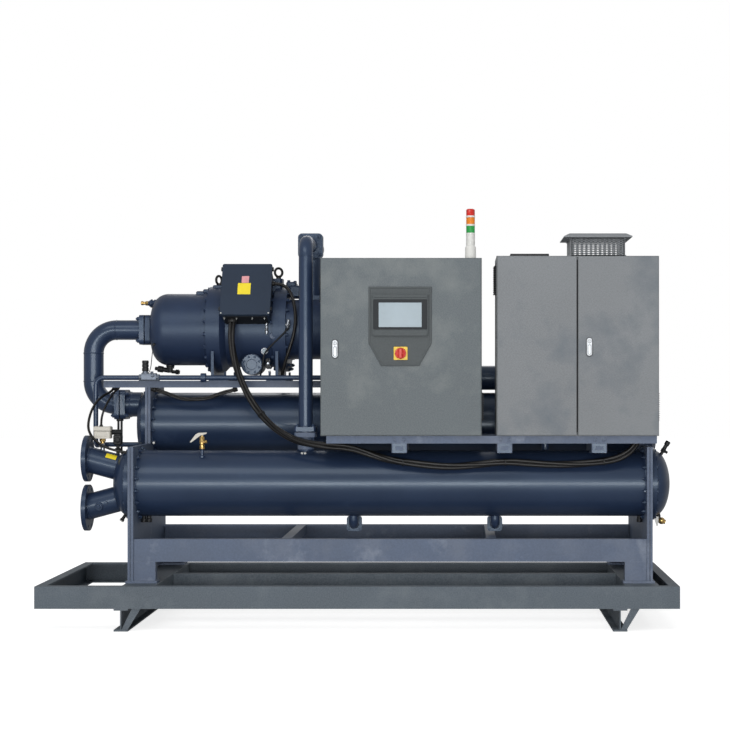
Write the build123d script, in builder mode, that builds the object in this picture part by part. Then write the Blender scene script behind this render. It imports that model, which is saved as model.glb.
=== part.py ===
from build123d import *
import math
import os

# Water-cooled screw chiller, in millimetres.
# +X runs along the machine to the right, +Y to the back and +Z up.
# The origin is on the floor, under the middle of the base frame.

# Base frame: rolled channels on two runners
BASE_LENGTH = 3360
BASE_DEPTH = 1200
RUNNER_HEIGHT = 118
RUNNER_WIDTH = 74
RUNNER_CENTRES = (-1230, 1369)
CHANNEL_HEIGHT = 116
CHANNEL_FLANGE = 53
CHANNEL_WEB = 6
CHANNEL_THICKNESS = 9
BASE_TOP = RUNNER_HEIGHT + CHANNEL_HEIGHT
BASE_MIDDLE = RUNNER_HEIGHT + CHANNEL_HEIGHT / 2
CROSS_MEMBER_WIDTH = 176
CROSS_MEMBER_CENTRES = (-1144, 1490)
CENTRE_CHANNEL_Y = -10
BRACE_WIDTH = 46
BRACE_FOOT_WIDTH = 32
BRACE_THICKNESS = 8
BRACE_LEAN = 56
BRACE_INSET = 8

# End plates that carry both vessels: two layers with a grooved joint between
PLATE_THICKNESS = 30
PLATE_LAYER = 12
PLATE_GROOVE_DEPTH = 8
PLATE_FRONT = -450
PLATE_BACK = 533
PLATE_TOP = 955
LEFT_PLATE_INNER = -1194
RIGHT_PLATE_INNER = 1525
LEFT_PLATE_OUTER = LEFT_PLATE_INNER - PLATE_THICKNESS
RIGHT_PLATE_OUTER = RIGHT_PLATE_INNER + PLATE_THICKNESS
VESSEL_LENGTH = RIGHT_PLATE_INNER - LEFT_PLATE_INNER

# Lower beams between the end plates, with a foot under each end
BEAM_BOTTOM = 346
BEAM_HEIGHT = 120
BEAM_FRONT = -440
BEAM_BACK = 523
FOOT_WIDTH = 116
FOOT_PAD_THICKNESS = 12
FOOT_PAD_OVERHANG = 20
CROSS_BAR_CENTRES = (-390, 702)
CROSS_BAR_SIZE = 52

# Condenser, low at the front
VESSEL_RADIUS = 178
CONDENSER_Y = -230
CONDENSER_Z = 751
HEAD_RING_RADIUS = 198
HEAD_RING_LENGTH = 28
HEAD_DOME_DEPTH = 86

# Water nozzles: 125 mm nominal pipe with an eight-hole flange, bored to a flat end near the vessel
NOZZLE_PIPE_RADIUS = 69.85
NOZZLE_BORE_RADIUS = 64
NOZZLE_BORE_DEPTH = 120
NOZZLE_MOUTH_RADIUS = 66
NOZZLE_FLANGE_RADIUS = 125
NOZZLE_FLANGE_THICKNESS = 24
NOZZLE_BOLT_CIRCLE = 210
NOZZLE_BOLT_HOLE = 18
NOZZLE_BOLTS = 8
NOZZLE_TILT = 15
NOZZLE_FACE_X = -1495
NOZZLE_FACE_OFFSET = 133
CHILLED_NOZZLE_X = (-940, 1270)

# Evaporator, higher at the back
EVAPORATOR_Y = 262
EVAPORATOR_Z = 1060
TUBE_PLATE_FRONT = 44
TUBE_PLATE_BACK = 480
TUBE_PLATE_TOP = 1268
SUCTION_HEAD_LENGTH = 58
END_HEAD_LENGTH = 87
HEAD_CHAMFER = 24
SUCTION_STUB_RADIUS = 70

# Compressor on two rails above the evaporator
RAIL_WIDTH = 40
RAIL_HEIGHT = 38
RAIL_TOP = TUBE_PLATE_TOP + RAIL_HEIGHT
RAIL_LEFT = -1455
RAIL_RIGHT = 230
COMPRESSOR_Y = 262
COMPRESSOR_Z = 1598
COVER_LEFT = -1215
COVER_RIGHT = -886
COVER_RADIUS = 204
COVER_RING_RADIUS = 216
COVER_RING_LENGTH = 26
COVER_END_FILLET = 88
SUCTION_HUB_RADIUS = 64
SUCTION_HUB_LENGTH = 8
MOTOR_FLANGE_RADIUS = 245
MOTOR_FLANGE_LENGTH = 78
MOTOR_SHOULDER_LENGTH = 30
MOTOR_RADIUS = 214
MOTOR_RIGHT = -475
LUG_WIDTH = 120
LUG_LENGTH = 100
LUG_CORNER = 18
LUG_RISE = 44
FILTER_X = -630
FILTER_Z = 1397
FILTER_RADIUS = 59
FILTER_FACE_Y = 62
ROTOR_RIGHT = -130
ROTOR_LOBE_RADIUS = 168
ROTOR_LOBE_OFFSET = 62
SEPARATOR_RIGHT = 205
SEPARATOR_RADIUS = 226
SEPARATOR_END_FILLET = 80
CASING_FLANGE_LENGTH = 36
CASING_FLANGE_RADIUS = 240
FOOT_PLATES_X = (-848, -488, 60)
FOOT_PLATE_THICKNESS = 16
FOOT_PLATE_TOP = 1472
FOOT_BASES_X = (-815, -494, 60)
FOOT_BASE_LENGTH = 108
FOOT_BASE_THICKNESS = 12
SADDLE_THICKNESS = 24
EYE_RADIUS = 24
EYE_BAR_RADIUS = 7
EYE_LEFT_X = -842
EYE_TURNS = (58, 35)
EYE_RIGHT_X = -501

# Terminal box, leaning back on the motor casing
BOX_LEFT = -794
BOX_WIDTH = 278
BOX_SLANT = 320
BOX_DEPTH = 140
BOX_LEAN = 25.4
BOX_FOOT_Y = -60
BOX_FOOT_Z = 1672
LID_THICKNESS = 22
LID_OVERHANG = 7
BOX_CORNER = 10
BOX_NECK_WIDTH = 211
BOX_NECK_HEIGHT = 198
BOX_NECK_MIDDLE = 115

# Refrigerant pipes
SUCTION_RADIUS = 56
SUCTION_BEND = 132
SUCTION_RISER_X = -1558
SUCTION_TOP_Z = 1596
SUCTION_LOW_Z = 1171
SQUARE_FLANGE = 168
SQUARE_FLANGE_THICKNESS = 28
GASKET = 6
GASKET_MARGIN = 12
FLANGE_WELD_DEPTH = 10
DISCHARGE_RADIUS = 38
DISCHARGE_X = -301
DISCHARGE_TOP_Z = 2061
DISCHARGE_BEND = 80
DISCHARGE_FLANGE = 138
DISCHARGE_FLANGE_Y = 51
GAS_STUB_RADIUS = 44
GAS_FLANGE = 116
GAS_FLANGE_CORNER = 12
GAS_FLANGE_THICKNESS = 24
GAS_FLANGE_Z = 1002
VALVE_BODY_RADIUS = 54
VALVE_BODY_OVERHANG = 20
VALVE_RISER_RADIUS = 46
LIQUID_OUTLETS_X = (-42, 725)
LIQUID_RADIUS = 21
LIQUID_BEND = 60
LIQUID_Y = 16
LIQUID_MANIFOLD_Z = 700
LIQUID_RISER_X = 1010
OUTLET_FLANGE = 82
OUTLET_FLANGE_THICKNESS = 16
OUTLET_PIPE_RADIUS = 25
OUTLET_BEND = 30
OUTLET_Z = 526
OUTLET_FACE_Y = -150
OUTLET_SINK = 40
FEED_RADIUS = 13.5
FEED_BEND = 44
FEED_Y = 14
FEED_Z = 1323
FEED_DROP_X = -1492
FEED_RIGHT_X = 340
FEED_INLET_Y = 190
FEED_INLET_Z = 945
COUPLING_X = -893
COUPLING_RADIUS = 25
COUPLING_LENGTH = 28
DRIER_RADIUS = 69
DRIER_LEFT = 430
DRIER_RIGHT = 870
DRIER_END = 46
DRIER_NECK_RADIUS = 29
CLIP_WIDTH = 30
CLIP_INSET = 90
VALVE_LEFT = -1236
VALVE_LENGTH = 84
VALVE_SIZE = 42
VALVE_CORNER = 8
VALVE_RISE = 4
VALVE_HEAD_RADIUS = 20
VALVE_HEAD_HEIGHT = 72

# Electrical cabinets on a frame above the condenser
CABINET_FRONT = -500
CABINET_BACK = -84
CABINET_BOTTOM = 1014
CONTROL_LEFT = -201
CONTROL_RIGHT = 650
CONTROL_TOP = 1953
STARTER_LEFT = 728
STARTER_RIGHT = 1585
STARTER_TOP = 1964
CABINET_WALL = 20
DOOR_THICKNESS = 18
DOOR_GAP = 5
DOOR_MARGIN = 4
DOOR_SPLIT_X = 1153
DOOR_EDGE_FILLET = 3
FRAME_RAIL_HEIGHT = 40
FRAME_RAIL_WIDTH = 40
FRAME_LEFT = -170
FRAME_RIGHT = 1574
FRONT_RAIL_Y = -460
BACK_RAIL_Y = -110
BRACKET_CENTRES = (215, 771, 1270)
BRACKET_WIDTH = 74
BRACKET_HEIGHT = 50
BRACKET_SADDLE_WIDTH = 120
STANDOFF_LENGTH = 22
STANDOFF_RADIUS = 9
STANDOFF_INSET = 40
MOUNTING_PLATE_THICKNESS = 10
MOUNTING_PLATE_MARGIN = 70

# Operator panel, its display case and the main switch
PANEL_X = 220
PANEL_WIDTH = 326
PANEL_TOP = 1797
PANEL_CORNER_Z = 1502
PANEL_BOTTOM = 1386
PANEL_CORNER = 64
PANEL_THICKNESS = 6
DISPLAY_WIDTH = 298
DISPLAY_HEIGHT = 216
DISPLAY_Z = 1653
DISPLAY_THICKNESS = 8
DISPLAY_CORNER = 8
SWITCH_X = 223
SWITCH_Z = 1449
SWITCH_PLATE = 72
SWITCH_PLATE_THICKNESS = 2
SWITCH_PLATE_CORNER = 4
SPINDLE_RADIUS = 6
SPINDLE_CLEARANCE = 2
SPINDLE_START = 1
KNOB_RADIUS = 29
KNOB_THICKNESS = 10
KNOB_CLEARANCE = 5
GRIP_WIDTH = 16
GRIP_LENGTH = 54
GRIP_HEIGHT = 14

# On the cabinet roofs
HOOD_X = 1265
HOOD_Y = -292
HOOD_WIDTH = 288
HOOD_DEPTH = 316
HOOD_HEIGHT = 100
HOOD_WALL = 8
CAP_WIDTH = 360
CAP_DEPTH = 376
CAP_EDGE = 5
CAP_RISE = 16
CAP_TAPER = 62
FAN_COVER_X = 906
FAN_COVER_SIZE = 208
FAN_COVER_CORNER = 16
FAN_COVER_HEIGHT = 12
TOWER_X = 592
TOWER_Y = -266
TOWER_BASE_RADIUS = 30
TOWER_BASE_TOP = 2034
TOWER_RADIUS = 24
TOWER_NECK_RADIUS = 21
TOWER_TOP_FILLET = 8
TOWER_SECTIONS = ((2042, 2094), (2102, 2141), (2149, 2187), (2195, 2233))

# Flow switch in the outlet nozzle, and the service valves
FLOW_SWITCH_X = -1400
SWITCH_CASE_LENGTH = 90
SWITCH_CASE_DEPTH = 64
SWITCH_CASE_HEIGHT = 64
SWITCH_CASE_CORNER = 8
SWITCH_CASE_BOTTOM = 993
SWITCH_NUT_RADIUS = 20
SWITCH_NUT_HEIGHT = 22
SWITCH_STEM_RADIUS = 12
SWITCH_STEM_BOTTOM = 928.3
GAUGE_VALVE_X = -848
GAUGE_VALVE_Y = -326
GAUGE_STEM_RADIUS = 10
GAUGE_STEM_HEIGHT = 110
GAUGE_STEM_SINK = 78
GAUGE_BODY_RADIUS = 17
GAUGE_BODY_HEIGHT = 52
VENT_OFFSET = 20
VENT_RADIUS = 13
VENT_LENGTH = 128
VENT_SINK = 60
VENT_AXIS = (0.5, 0, 0.866)
DRAIN_OFFSET = 28
DRAIN_RADIUS = 13
DRAIN_LENGTH = 110
DRAIN_DROP = 44
LEFT_DRAIN_OFFSET = 18
LEFT_DRAIN_LENGTH = 68
LEFT_DRAIN_RADIUS = 12

# Cables and the hose: radius of each, and the points of its route from end to end
CORD_BEND_SHARE = 0.45
MOTOR_CABLE_RADIUS = 21
MOTOR_CABLE_ROUTE = (
    (-731, -2, 1624),
    (-731, -37, 1551),
    (-718, -52, 1455),
    (-695, -62, 1362),
    (-663, -80, 1282),
    (-622, -106, 1210),
    (-566, -144, 1136),
    (-492, -202, 1066),
    (-405, -282, 1010),
    (-315, -352, 974),
    (-190, -396, 957),
    (-50, -402, 952),
    (48, -404, 920),
    (160, -410, 882),
    (310, -418, 861),
    (470, -423, 849),
    (640, -420, 860),
    (780, -418, 875),
    (910, -420, 867),
    (1045, -421, 861),
    (1180, -420, 863),
    (1285, -420, 873),
    (1366, -418, 889),
    (1424, -413, 919),
    (1462, -406, 958),
    (1484, -398, 1000),
)
FLOW_SWITCH_CABLE_RADIUS = 6
FLOW_SWITCH_CABLE_ROUTE = (
    (-1384, 58, 1258),
    (-1398, 36, 1236),
    (-1412, -10, 1204),
    (-1419, -70, 1167),
    (-1420, -130, 1136),
    (-1417, -185, 1106),
    (-1412, -217, 1086),
    (-1410, -229, 1066),
)
SENSOR_CABLE_RADIUS = 7
SENSOR_CABLE_ROUTE = (
    (-1406, 58, 1257),
    (-1420, 34, 1240),
    (-1441, -14, 1226),
    (-1468, -66, 1194),
    (-1485, -122, 1147),
    (-1490, -176, 1092),
    (-1482, -226, 1047),
    (-1460, -263, 1012),
    (-1428, -288, 981),
    (-1388, -301, 956),
    (-1345, -306, 938),
    (-1300, -305, 927),
    (-1263, -302, 921),
)
RAIL_CABLE_RADIUS = 12
RAIL_CABLE_ROUTE = (
    (-1166, 64, 1255),
    (-1130, 64, 1246),
    (-1080, 62, 1223),
    (-1015, 60, 1205),
    (-945, 60, 1200),
    (-875, 61, 1210),
    (-812, 62, 1230),
    (-766, 64, 1247),
    (-734, 64, 1255),
)
OIL_HOSE_RADIUS = 9
OIL_HOSE_ROUTE = (
    (-505, 85, 1850),
    (-470, 80, 1849),
    (-434, 64, 1829),
    (-405, 42, 1787),
    (-387, 26, 1725),
    (-380, 18, 1655),
    (-386, 14, 1585),
    (-402, 14, 1520),
    (-424, 20, 1455),
    (-443, 34, 1399),
    (-454, 50, 1361),
    (-458, 58, 1338),
)


def channel_profile(height, flange):
    """Rolled channel with its web on the local y axis and its flanges towards local +x."""
    with BuildSketch() as profile:
        Rectangle(flange, height, align=(Align.MIN, Align.CENTER))
        with Locations((CHANNEL_WEB, 0)):
            Rectangle(
                flange,
                height - 2 * CHANNEL_THICKNESS,
                align=(Align.MIN, Align.CENTER),
                mode=Mode.SUBTRACT,
            )
    return profile.sketch


def layered_plate(start_x, front, back, bottom, top):
    """Upright plate across X: two layers with a thinner, smaller one between them."""
    groove = PLATE_THICKNESS - 2 * PLATE_LAYER
    layers = (
        (start_x, PLATE_LAYER, 0),
        (start_x + PLATE_LAYER, groove, PLATE_GROOVE_DEPTH),
        (start_x + PLATE_LAYER + groove, PLATE_LAYER, 0),
    )
    with BuildPart() as plate:
        for layer_x, thickness, inset in layers:
            with BuildSketch(Plane.YZ.offset(layer_x)):
                with Locations(((front + back) / 2, (bottom + top) / 2)):
                    Rectangle(back - front - 2 * inset, top - bottom)
            extrude(amount=thickness)
    return plate.part


def turned_body(stations, y, z):
    """Body of revolution about an axis along X, through (x, radius) stations."""
    first_x = stations[0][0]
    last_x = stations[-1][0]
    outline = [(x, z + radius) for x, radius in stations]
    with BuildPart() as body:
        with BuildSketch(Plane.XZ.offset(-y)):
            with BuildLine():
                Polyline((first_x, z), *outline, (last_x, z), close=True)
            make_face()
        revolve(axis=Axis((0, y, z), (1, 0, 0)))
    return body.part


def dished_head(face_x, y, z):
    """Bolted ring and dished end that stand towards +X from a plate face at face_x."""
    ring_x = face_x + HEAD_RING_LENGTH
    with BuildPart() as head:
        with BuildSketch(Plane.XZ.offset(-y)):
            with BuildLine():
                EllipticalCenterArc((ring_x, z), HEAD_DOME_DEPTH, VESSEL_RADIUS, 0, arc_size=90)
                Polyline(
                    (ring_x, z + VESSEL_RADIUS),
                    (ring_x, z + HEAD_RING_RADIUS),
                    (face_x, z + HEAD_RING_RADIUS),
                    (face_x, z),
                    (ring_x + HEAD_DOME_DEPTH, z),
                )
            make_face()
        revolve(axis=Axis((0, y, z), (1, 0, 0)))
    return head.part


def water_nozzle(face, slant, reach):
    """Flanged pipe: face is the flange outer side, slant the plane across the pipe there."""
    with BuildPart() as nozzle:
        with BuildSketch(slant):
            Circle(NOZZLE_PIPE_RADIUS)
        extrude(amount=-reach)
        with BuildSketch(face.offset(-NOZZLE_FLANGE_THICKNESS)):
            Circle(NOZZLE_FLANGE_RADIUS)
        extrude(amount=2 * NOZZLE_FLANGE_THICKNESS, mode=Mode.SUBTRACT)
        with BuildSketch(face):
            Circle(NOZZLE_FLANGE_RADIUS)
            with PolarLocations(NOZZLE_BOLT_CIRCLE / 2, NOZZLE_BOLTS, start_angle=180 / NOZZLE_BOLTS):
                Circle(NOZZLE_BOLT_HOLE / 2, mode=Mode.SUBTRACT)
        extrude(amount=-NOZZLE_FLANGE_THICKNESS)
        with BuildSketch(slant):
            Circle(NOZZLE_BORE_RADIUS)
        extrude(amount=NOZZLE_BORE_DEPTH, both=True, mode=Mode.SUBTRACT)
        with BuildSketch(slant):
            Circle(NOZZLE_MOUTH_RADIUS)
        extrude(amount=2 * NOZZLE_FLANGE_THICKNESS, mode=Mode.SUBTRACT)
    return nozzle.part


def bent_pipe(points, bend_radius, radius):
    """Round pipe along straight runs whose corners are bent to one radius."""
    with BuildPart() as pipe:
        with BuildLine():
            route = FilletPolyline(*points, radius=bend_radius)
        with BuildSketch(Plane(origin=route @ 0, z_dir=route % 0)):
            Circle(radius)
        sweep()
    return pipe.part


def square_flange_x(start_x, thickness, size, y, z):
    """Square flange with rounded corners across an axis along X."""
    with BuildPart() as flange:
        with BuildSketch(Plane.YZ.offset(start_x)):
            with Locations((y, z)):
                RectangleRounded(size, size, size / 6)
        extrude(amount=thickness)
    return flange.part


def cord_tube(name, route, radius):
    """Round cord of straight runs joined by tangent arcs, each as large as its two runs allow."""
    runs = [Vector(*end) - Vector(*start) for start, end in zip(route, route[1:])]
    bends = []
    for before, after in zip(runs, runs[1:]):
        half_turn = math.radians(before.get_angle(after) / 2)
        bends.append(CORD_BEND_SHARE * min(before.length, after.length) / math.tan(half_turn))
    with BuildPart() as cord:
        with BuildLine():
            path = FilletPolyline(*route, radius=bends)
        with BuildSketch(Plane(origin=path @ 0, z_dir=path % 0)):
            Circle(radius)
        sweep()
    section_volume = math.pi * radius**2 * path.length
    print(name, "length", round(path.length), "radii", [round(bend) for bend in bends])
    print(name, "volume over section times length", round(cord.part.volume / section_volume, 4))
    return cord.part


def cord_gland(end, neighbour, radius, length):
    """Round gland that starts at a cord's end and runs on away from the route's next point."""
    axis = Vector(*end) - Vector(*neighbour)
    with BuildPart() as gland:
        with BuildSketch(Plane(origin=end, z_dir=axis)):
            Circle(radius)
        extrude(amount=length)
    return gland.part


def cabinet_shell(left, right, top):
    """Sheet cabinet that is open at the front, where its doors close it."""
    width = right - left
    height = top - CABINET_BOTTOM
    rim_y = CABINET_FRONT + DOOR_THICKNESS + DOOR_GAP
    with BuildPart() as shell:
        with BuildSketch(Plane.XZ.offset(-CABINET_BACK)):
            with Locations((left + width / 2, CABINET_BOTTOM + height / 2)):
                Rectangle(width, height)
        extrude(amount=CABINET_BACK - rim_y)
        with BuildSketch(Plane.XZ.offset(-(CABINET_BACK - CABINET_WALL))):
            with Locations((left + width / 2, CABINET_BOTTOM + height / 2)):
                Rectangle(width - 2 * CABINET_WALL, height - 2 * CABINET_WALL)
        extrude(amount=CABINET_BACK - CABINET_WALL - rim_y, mode=Mode.SUBTRACT)
    return shell.part


def door_leaf(left, right, top):
    """Flat folded door leaf that lies just in front of a cabinet's rim, a margin inside it."""
    width = right - left - 2 * DOOR_MARGIN
    height = top - CABINET_BOTTOM - 2 * DOOR_MARGIN
    with BuildPart() as leaf:
        with BuildSketch(Plane.XZ.offset(-(CABINET_FRONT + DOOR_THICKNESS))):
            with Locations(((left + right) / 2, (CABINET_BOTTOM + top) / 2)):
                Rectangle(width, height)
        extrude(amount=DOOR_THICKNESS)
        fillet(leaf.faces().sort_by(Axis.Y)[0].edges(), radius=DOOR_EDGE_FILLET)
    return leaf.part


os.makedirs("parts", exist_ok=True)

# Front and back channels of the base, webs outward
with BuildPart() as base_long_channels:
    with BuildSketch(Plane.YZ.offset(-BASE_LENGTH / 2)):
        with Locations((-BASE_DEPTH / 2, BASE_MIDDLE)):
            add(channel_profile(CHANNEL_HEIGHT, CHANNEL_FLANGE))
    extrude(amount=BASE_LENGTH)
    mirror(about=Plane.XZ)
base_long_channels.part.label = "base_long_channels"
export_step(base_long_channels.part, "parts/base_long_channels.step")

# End channels: flanges stop at the long channels' flanges, webs run on between them
end_channel_half = BASE_DEPTH / 2 - CHANNEL_FLANGE
end_web_half = BASE_DEPTH / 2 - CHANNEL_WEB
with BuildPart() as base_end_channels:
    with BuildSketch(Plane.XZ.offset(-end_channel_half)):
        with Locations((-BASE_LENGTH / 2, BASE_MIDDLE)):
            add(channel_profile(CHANNEL_HEIGHT, CHANNEL_FLANGE))
    extrude(amount=2 * end_channel_half)
    with BuildSketch(Plane.YZ.offset(-BASE_LENGTH / 2)):
        with Locations((0, BASE_MIDDLE)):
            Rectangle(2 * end_web_half, CHANNEL_HEIGHT - 2 * CHANNEL_THICKNESS)
    extrude(amount=CHANNEL_WEB)
    mirror(about=Plane.YZ)
base_end_channels.part.label = "base_end_channels"
export_step(base_end_channels.part, "parts/base_end_channels.step")

# Box-section members under the two end plates
with BuildPart() as base_cross_members:
    with BuildSketch(Plane.XZ.offset(-end_channel_half)):
        with Locations(*[(x, BASE_MIDDLE) for x in CROSS_MEMBER_CENTRES]):
            Rectangle(CROSS_MEMBER_WIDTH, CHANNEL_HEIGHT)
            Rectangle(
                CROSS_MEMBER_WIDTH - 2 * CHANNEL_WEB,
                CHANNEL_HEIGHT - 2 * CHANNEL_THICKNESS,
                mode=Mode.SUBTRACT,
            )
    extrude(amount=2 * end_channel_half)
base_cross_members.part.label = "base_cross_members"
export_step(base_cross_members.part, "parts/base_cross_members.step")

# Middle channel that ties the two box members
centre_left = CROSS_MEMBER_CENTRES[0] + CROSS_MEMBER_WIDTH / 2
centre_right = CROSS_MEMBER_CENTRES[1] - CROSS_MEMBER_WIDTH / 2
with BuildPart() as base_centre_channel:
    with BuildSketch(Plane.YZ.offset(centre_left)):
        with Locations((CENTRE_CHANNEL_Y, BASE_MIDDLE)):
            add(channel_profile(CHANNEL_HEIGHT, CHANNEL_FLANGE))
    extrude(amount=centre_right - centre_left)
base_centre_channel.part.label = "base_centre_channel"
export_step(base_centre_channel.part, "parts/base_centre_channel.step")

# Runners: I beams across the depth, with a leaning flat brace at each end
with BuildPart() as base_runners:
    with BuildSketch(Plane.XZ.offset(-BASE_DEPTH / 2)):
        with Locations(*[(x, RUNNER_HEIGHT / 2) for x in RUNNER_CENTRES]):
            Rectangle(RUNNER_WIDTH, RUNNER_HEIGHT)
        for x in RUNNER_CENTRES:
            hollow_width = (RUNNER_WIDTH - CHANNEL_WEB) / 2
            for side in (-1, 1):
                with Locations((x + side * (CHANNEL_WEB + hollow_width) / 2, RUNNER_HEIGHT / 2)):
                    Rectangle(
                        hollow_width,
                        RUNNER_HEIGHT - 2 * CHANNEL_THICKNESS,
                        mode=Mode.SUBTRACT,
                    )
    extrude(amount=BASE_DEPTH)
    for brace_back in (BRACE_INSET + BRACE_THICKNESS - BASE_DEPTH / 2, BASE_DEPTH / 2 - BRACE_INSET):
        with BuildSketch(Plane.XZ.offset(-brace_back)):
            for x in RUNNER_CENTRES:
                web_face = x + CHANNEL_WEB / 2
                with BuildLine():
                    Polyline(
                        (web_face, CHANNEL_THICKNESS),
                        (web_face + BRACE_FOOT_WIDTH, CHANNEL_THICKNESS),
                        (x + BRACE_LEAN + BRACE_WIDTH, RUNNER_HEIGHT),
                        (x + BRACE_LEAN, RUNNER_HEIGHT),
                        close=True,
                    )
                make_face()
        extrude(amount=BRACE_THICKNESS)
base_runners.part.label = "base_runners"
export_step(base_runners.part, "parts/base_runners.step")

# End plates: each carries one end of both vessels
plate_bottom = BASE_TOP + FOOT_PAD_THICKNESS
with BuildPart() as left_end_plate:
    add(layered_plate(LEFT_PLATE_OUTER, PLATE_FRONT, PLATE_BACK, plate_bottom, PLATE_TOP))
left_end_plate.part.label = "left_end_plate"
export_step(left_end_plate.part, "parts/left_end_plate.step")

with BuildPart() as right_end_plate:
    add(layered_plate(RIGHT_PLATE_INNER, PLATE_FRONT, PLATE_BACK, plate_bottom, PLATE_TOP))
right_end_plate.part.label = "right_end_plate"
export_step(right_end_plate.part, "parts/right_end_plate.step")

# Lower beams: front and back channels between the end plates, webs outward
beam_middle = BEAM_BOTTOM + BEAM_HEIGHT / 2
with BuildPart() as lower_beams:
    with BuildSketch(Plane.YZ.offset(LEFT_PLATE_INNER)):
        with Locations((BEAM_FRONT, beam_middle)):
            add(channel_profile(BEAM_HEIGHT, CHANNEL_FLANGE))
        with Locations(Location((BEAM_BACK, beam_middle), 180)):
            add(channel_profile(BEAM_HEIGHT, CHANNEL_FLANGE))
    extrude(amount=VESSEL_LENGTH)
lower_beams.part.label = "lower_beams"
export_step(lower_beams.part, "parts/lower_beams.step")

# Feet: a pad on the base and a short upright channel under each end of both beams
foot_height = BEAM_BOTTOM - BASE_TOP - FOOT_PAD_THICKNESS
foot_span = FOOT_WIDTH + PLATE_THICKNESS + FOOT_PAD_OVERHANG
foot_pad_centres = (
    LEFT_PLATE_OUTER - FOOT_PAD_OVERHANG / 2 + foot_span / 2,
    RIGHT_PLATE_OUTER + FOOT_PAD_OVERHANG / 2 - foot_span / 2,
)
foot_block_centres = (
    LEFT_PLATE_INNER + FOOT_WIDTH / 2,
    RIGHT_PLATE_INNER - FOOT_WIDTH / 2,
)
with BuildPart() as beam_feet:
    with BuildSketch(Plane.XY.offset(BASE_TOP)):
        for x in foot_pad_centres:
            with Locations((x, BEAM_FRONT + CHANNEL_FLANGE / 2), (x, BEAM_BACK - CHANNEL_FLANGE / 2)):
                Rectangle(foot_span, CHANNEL_FLANGE + 2 * FOOT_PAD_OVERHANG)
    extrude(amount=FOOT_PAD_THICKNESS)
    with BuildSketch(Plane.XY.offset(BASE_TOP + FOOT_PAD_THICKNESS)):
        for x in foot_block_centres:
            with Locations(Location((x, BEAM_FRONT), 90)):
                Rectangle(CHANNEL_FLANGE, FOOT_WIDTH, align=(Align.MIN, Align.CENTER))
                with Locations((CHANNEL_WEB, 0)):
                    Rectangle(
                        CHANNEL_FLANGE,
                        FOOT_WIDTH - 2 * CHANNEL_THICKNESS,
                        align=(Align.MIN, Align.CENTER),
                        mode=Mode.SUBTRACT,
                    )
            with Locations(Location((x, BEAM_BACK), -90)):
                Rectangle(CHANNEL_FLANGE, FOOT_WIDTH, align=(Align.MIN, Align.CENTER))
                with Locations((CHANNEL_WEB, 0)):
                    Rectangle(
                        CHANNEL_FLANGE,
                        FOOT_WIDTH - 2 * CHANNEL_THICKNESS,
                        align=(Align.MIN, Align.CENTER),
                        mode=Mode.SUBTRACT,
                    )
    extrude(amount=foot_height)
beam_feet.part.label = "beam_feet"
export_step(beam_feet.part, "parts/beam_feet.step")

# Cross bars between the two lower beams
cross_bar_front = BEAM_FRONT + CHANNEL_FLANGE
cross_bar_back = BEAM_BACK - CHANNEL_FLANGE
with BuildPart() as beam_cross_bars:
    with BuildSketch(Plane.XZ.offset(-cross_bar_back)):
        with Locations(*[(x, BEAM_BOTTOM + BEAM_HEIGHT - CROSS_BAR_SIZE / 2) for x in CROSS_BAR_CENTRES]):
            Rectangle(CROSS_BAR_SIZE, CROSS_BAR_SIZE)
    extrude(amount=cross_bar_back - cross_bar_front)
beam_cross_bars.part.label = "beam_cross_bars"
export_step(beam_cross_bars.part, "parts/beam_cross_bars.step")

# Condenser shell and its two dished water heads
with BuildPart() as condenser_shell:
    with BuildSketch(Plane.YZ.offset(LEFT_PLATE_INNER)):
        with Locations((CONDENSER_Y, CONDENSER_Z)):
            Circle(VESSEL_RADIUS)
    extrude(amount=VESSEL_LENGTH)
condenser_shell.part.label = "condenser_shell"
export_step(condenser_shell.part, "parts/condenser_shell.step")

with BuildPart() as condenser_left_head:
    mirror(dished_head(-LEFT_PLATE_OUTER, CONDENSER_Y, CONDENSER_Z), about=Plane.YZ)
condenser_left_head.part.label = "condenser_left_head"
export_step(condenser_left_head.part, "parts/condenser_left_head.step")

with BuildPart() as condenser_right_head:
    add(dished_head(RIGHT_PLATE_OUTER, CONDENSER_Y, CONDENSER_Z))
condenser_right_head.part.label = "condenser_right_head"
export_step(condenser_right_head.part, "parts/condenser_right_head.step")

# Cooling-water nozzles, spreading up and down from the left head
tilt = math.radians(NOZZLE_TILT)
outlet_centre = (NOZZLE_FACE_X, CONDENSER_Y, CONDENSER_Z + NOZZLE_FACE_OFFSET)
inlet_centre = (NOZZLE_FACE_X, CONDENSER_Y, CONDENSER_Z - NOZZLE_FACE_OFFSET)
outlet_face = Plane(origin=outlet_centre, x_dir=(0, -1, 0), z_dir=(-1, 0, 0))
inlet_face = Plane(origin=inlet_centre, x_dir=(0, -1, 0), z_dir=(-1, 0, 0))
outlet_slant = Plane(
    origin=outlet_centre, x_dir=(0, -1, 0), z_dir=(-math.cos(tilt), 0, math.sin(tilt))
)
inlet_slant = Plane(
    origin=inlet_centre, x_dir=(0, -1, 0), z_dir=(-math.cos(tilt), 0, -math.sin(tilt))
)
nozzle_reach = LEFT_PLATE_OUTER - HEAD_RING_LENGTH - NOZZLE_FACE_X
with BuildPart() as condenser_water_outlet:
    add(water_nozzle(outlet_face, outlet_slant, nozzle_reach))
    add(condenser_left_head.part, mode=Mode.SUBTRACT)
condenser_water_outlet.part.label = "condenser_water_outlet"
export_step(condenser_water_outlet.part, "parts/condenser_water_outlet.step")

with BuildPart() as condenser_water_inlet:
    add(water_nozzle(inlet_face, inlet_slant, nozzle_reach))
    add(condenser_left_head.part, mode=Mode.SUBTRACT)
condenser_water_inlet.part.label = "condenser_water_inlet"
export_step(condenser_water_inlet.part, "parts/condenser_water_inlet.step")

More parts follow.
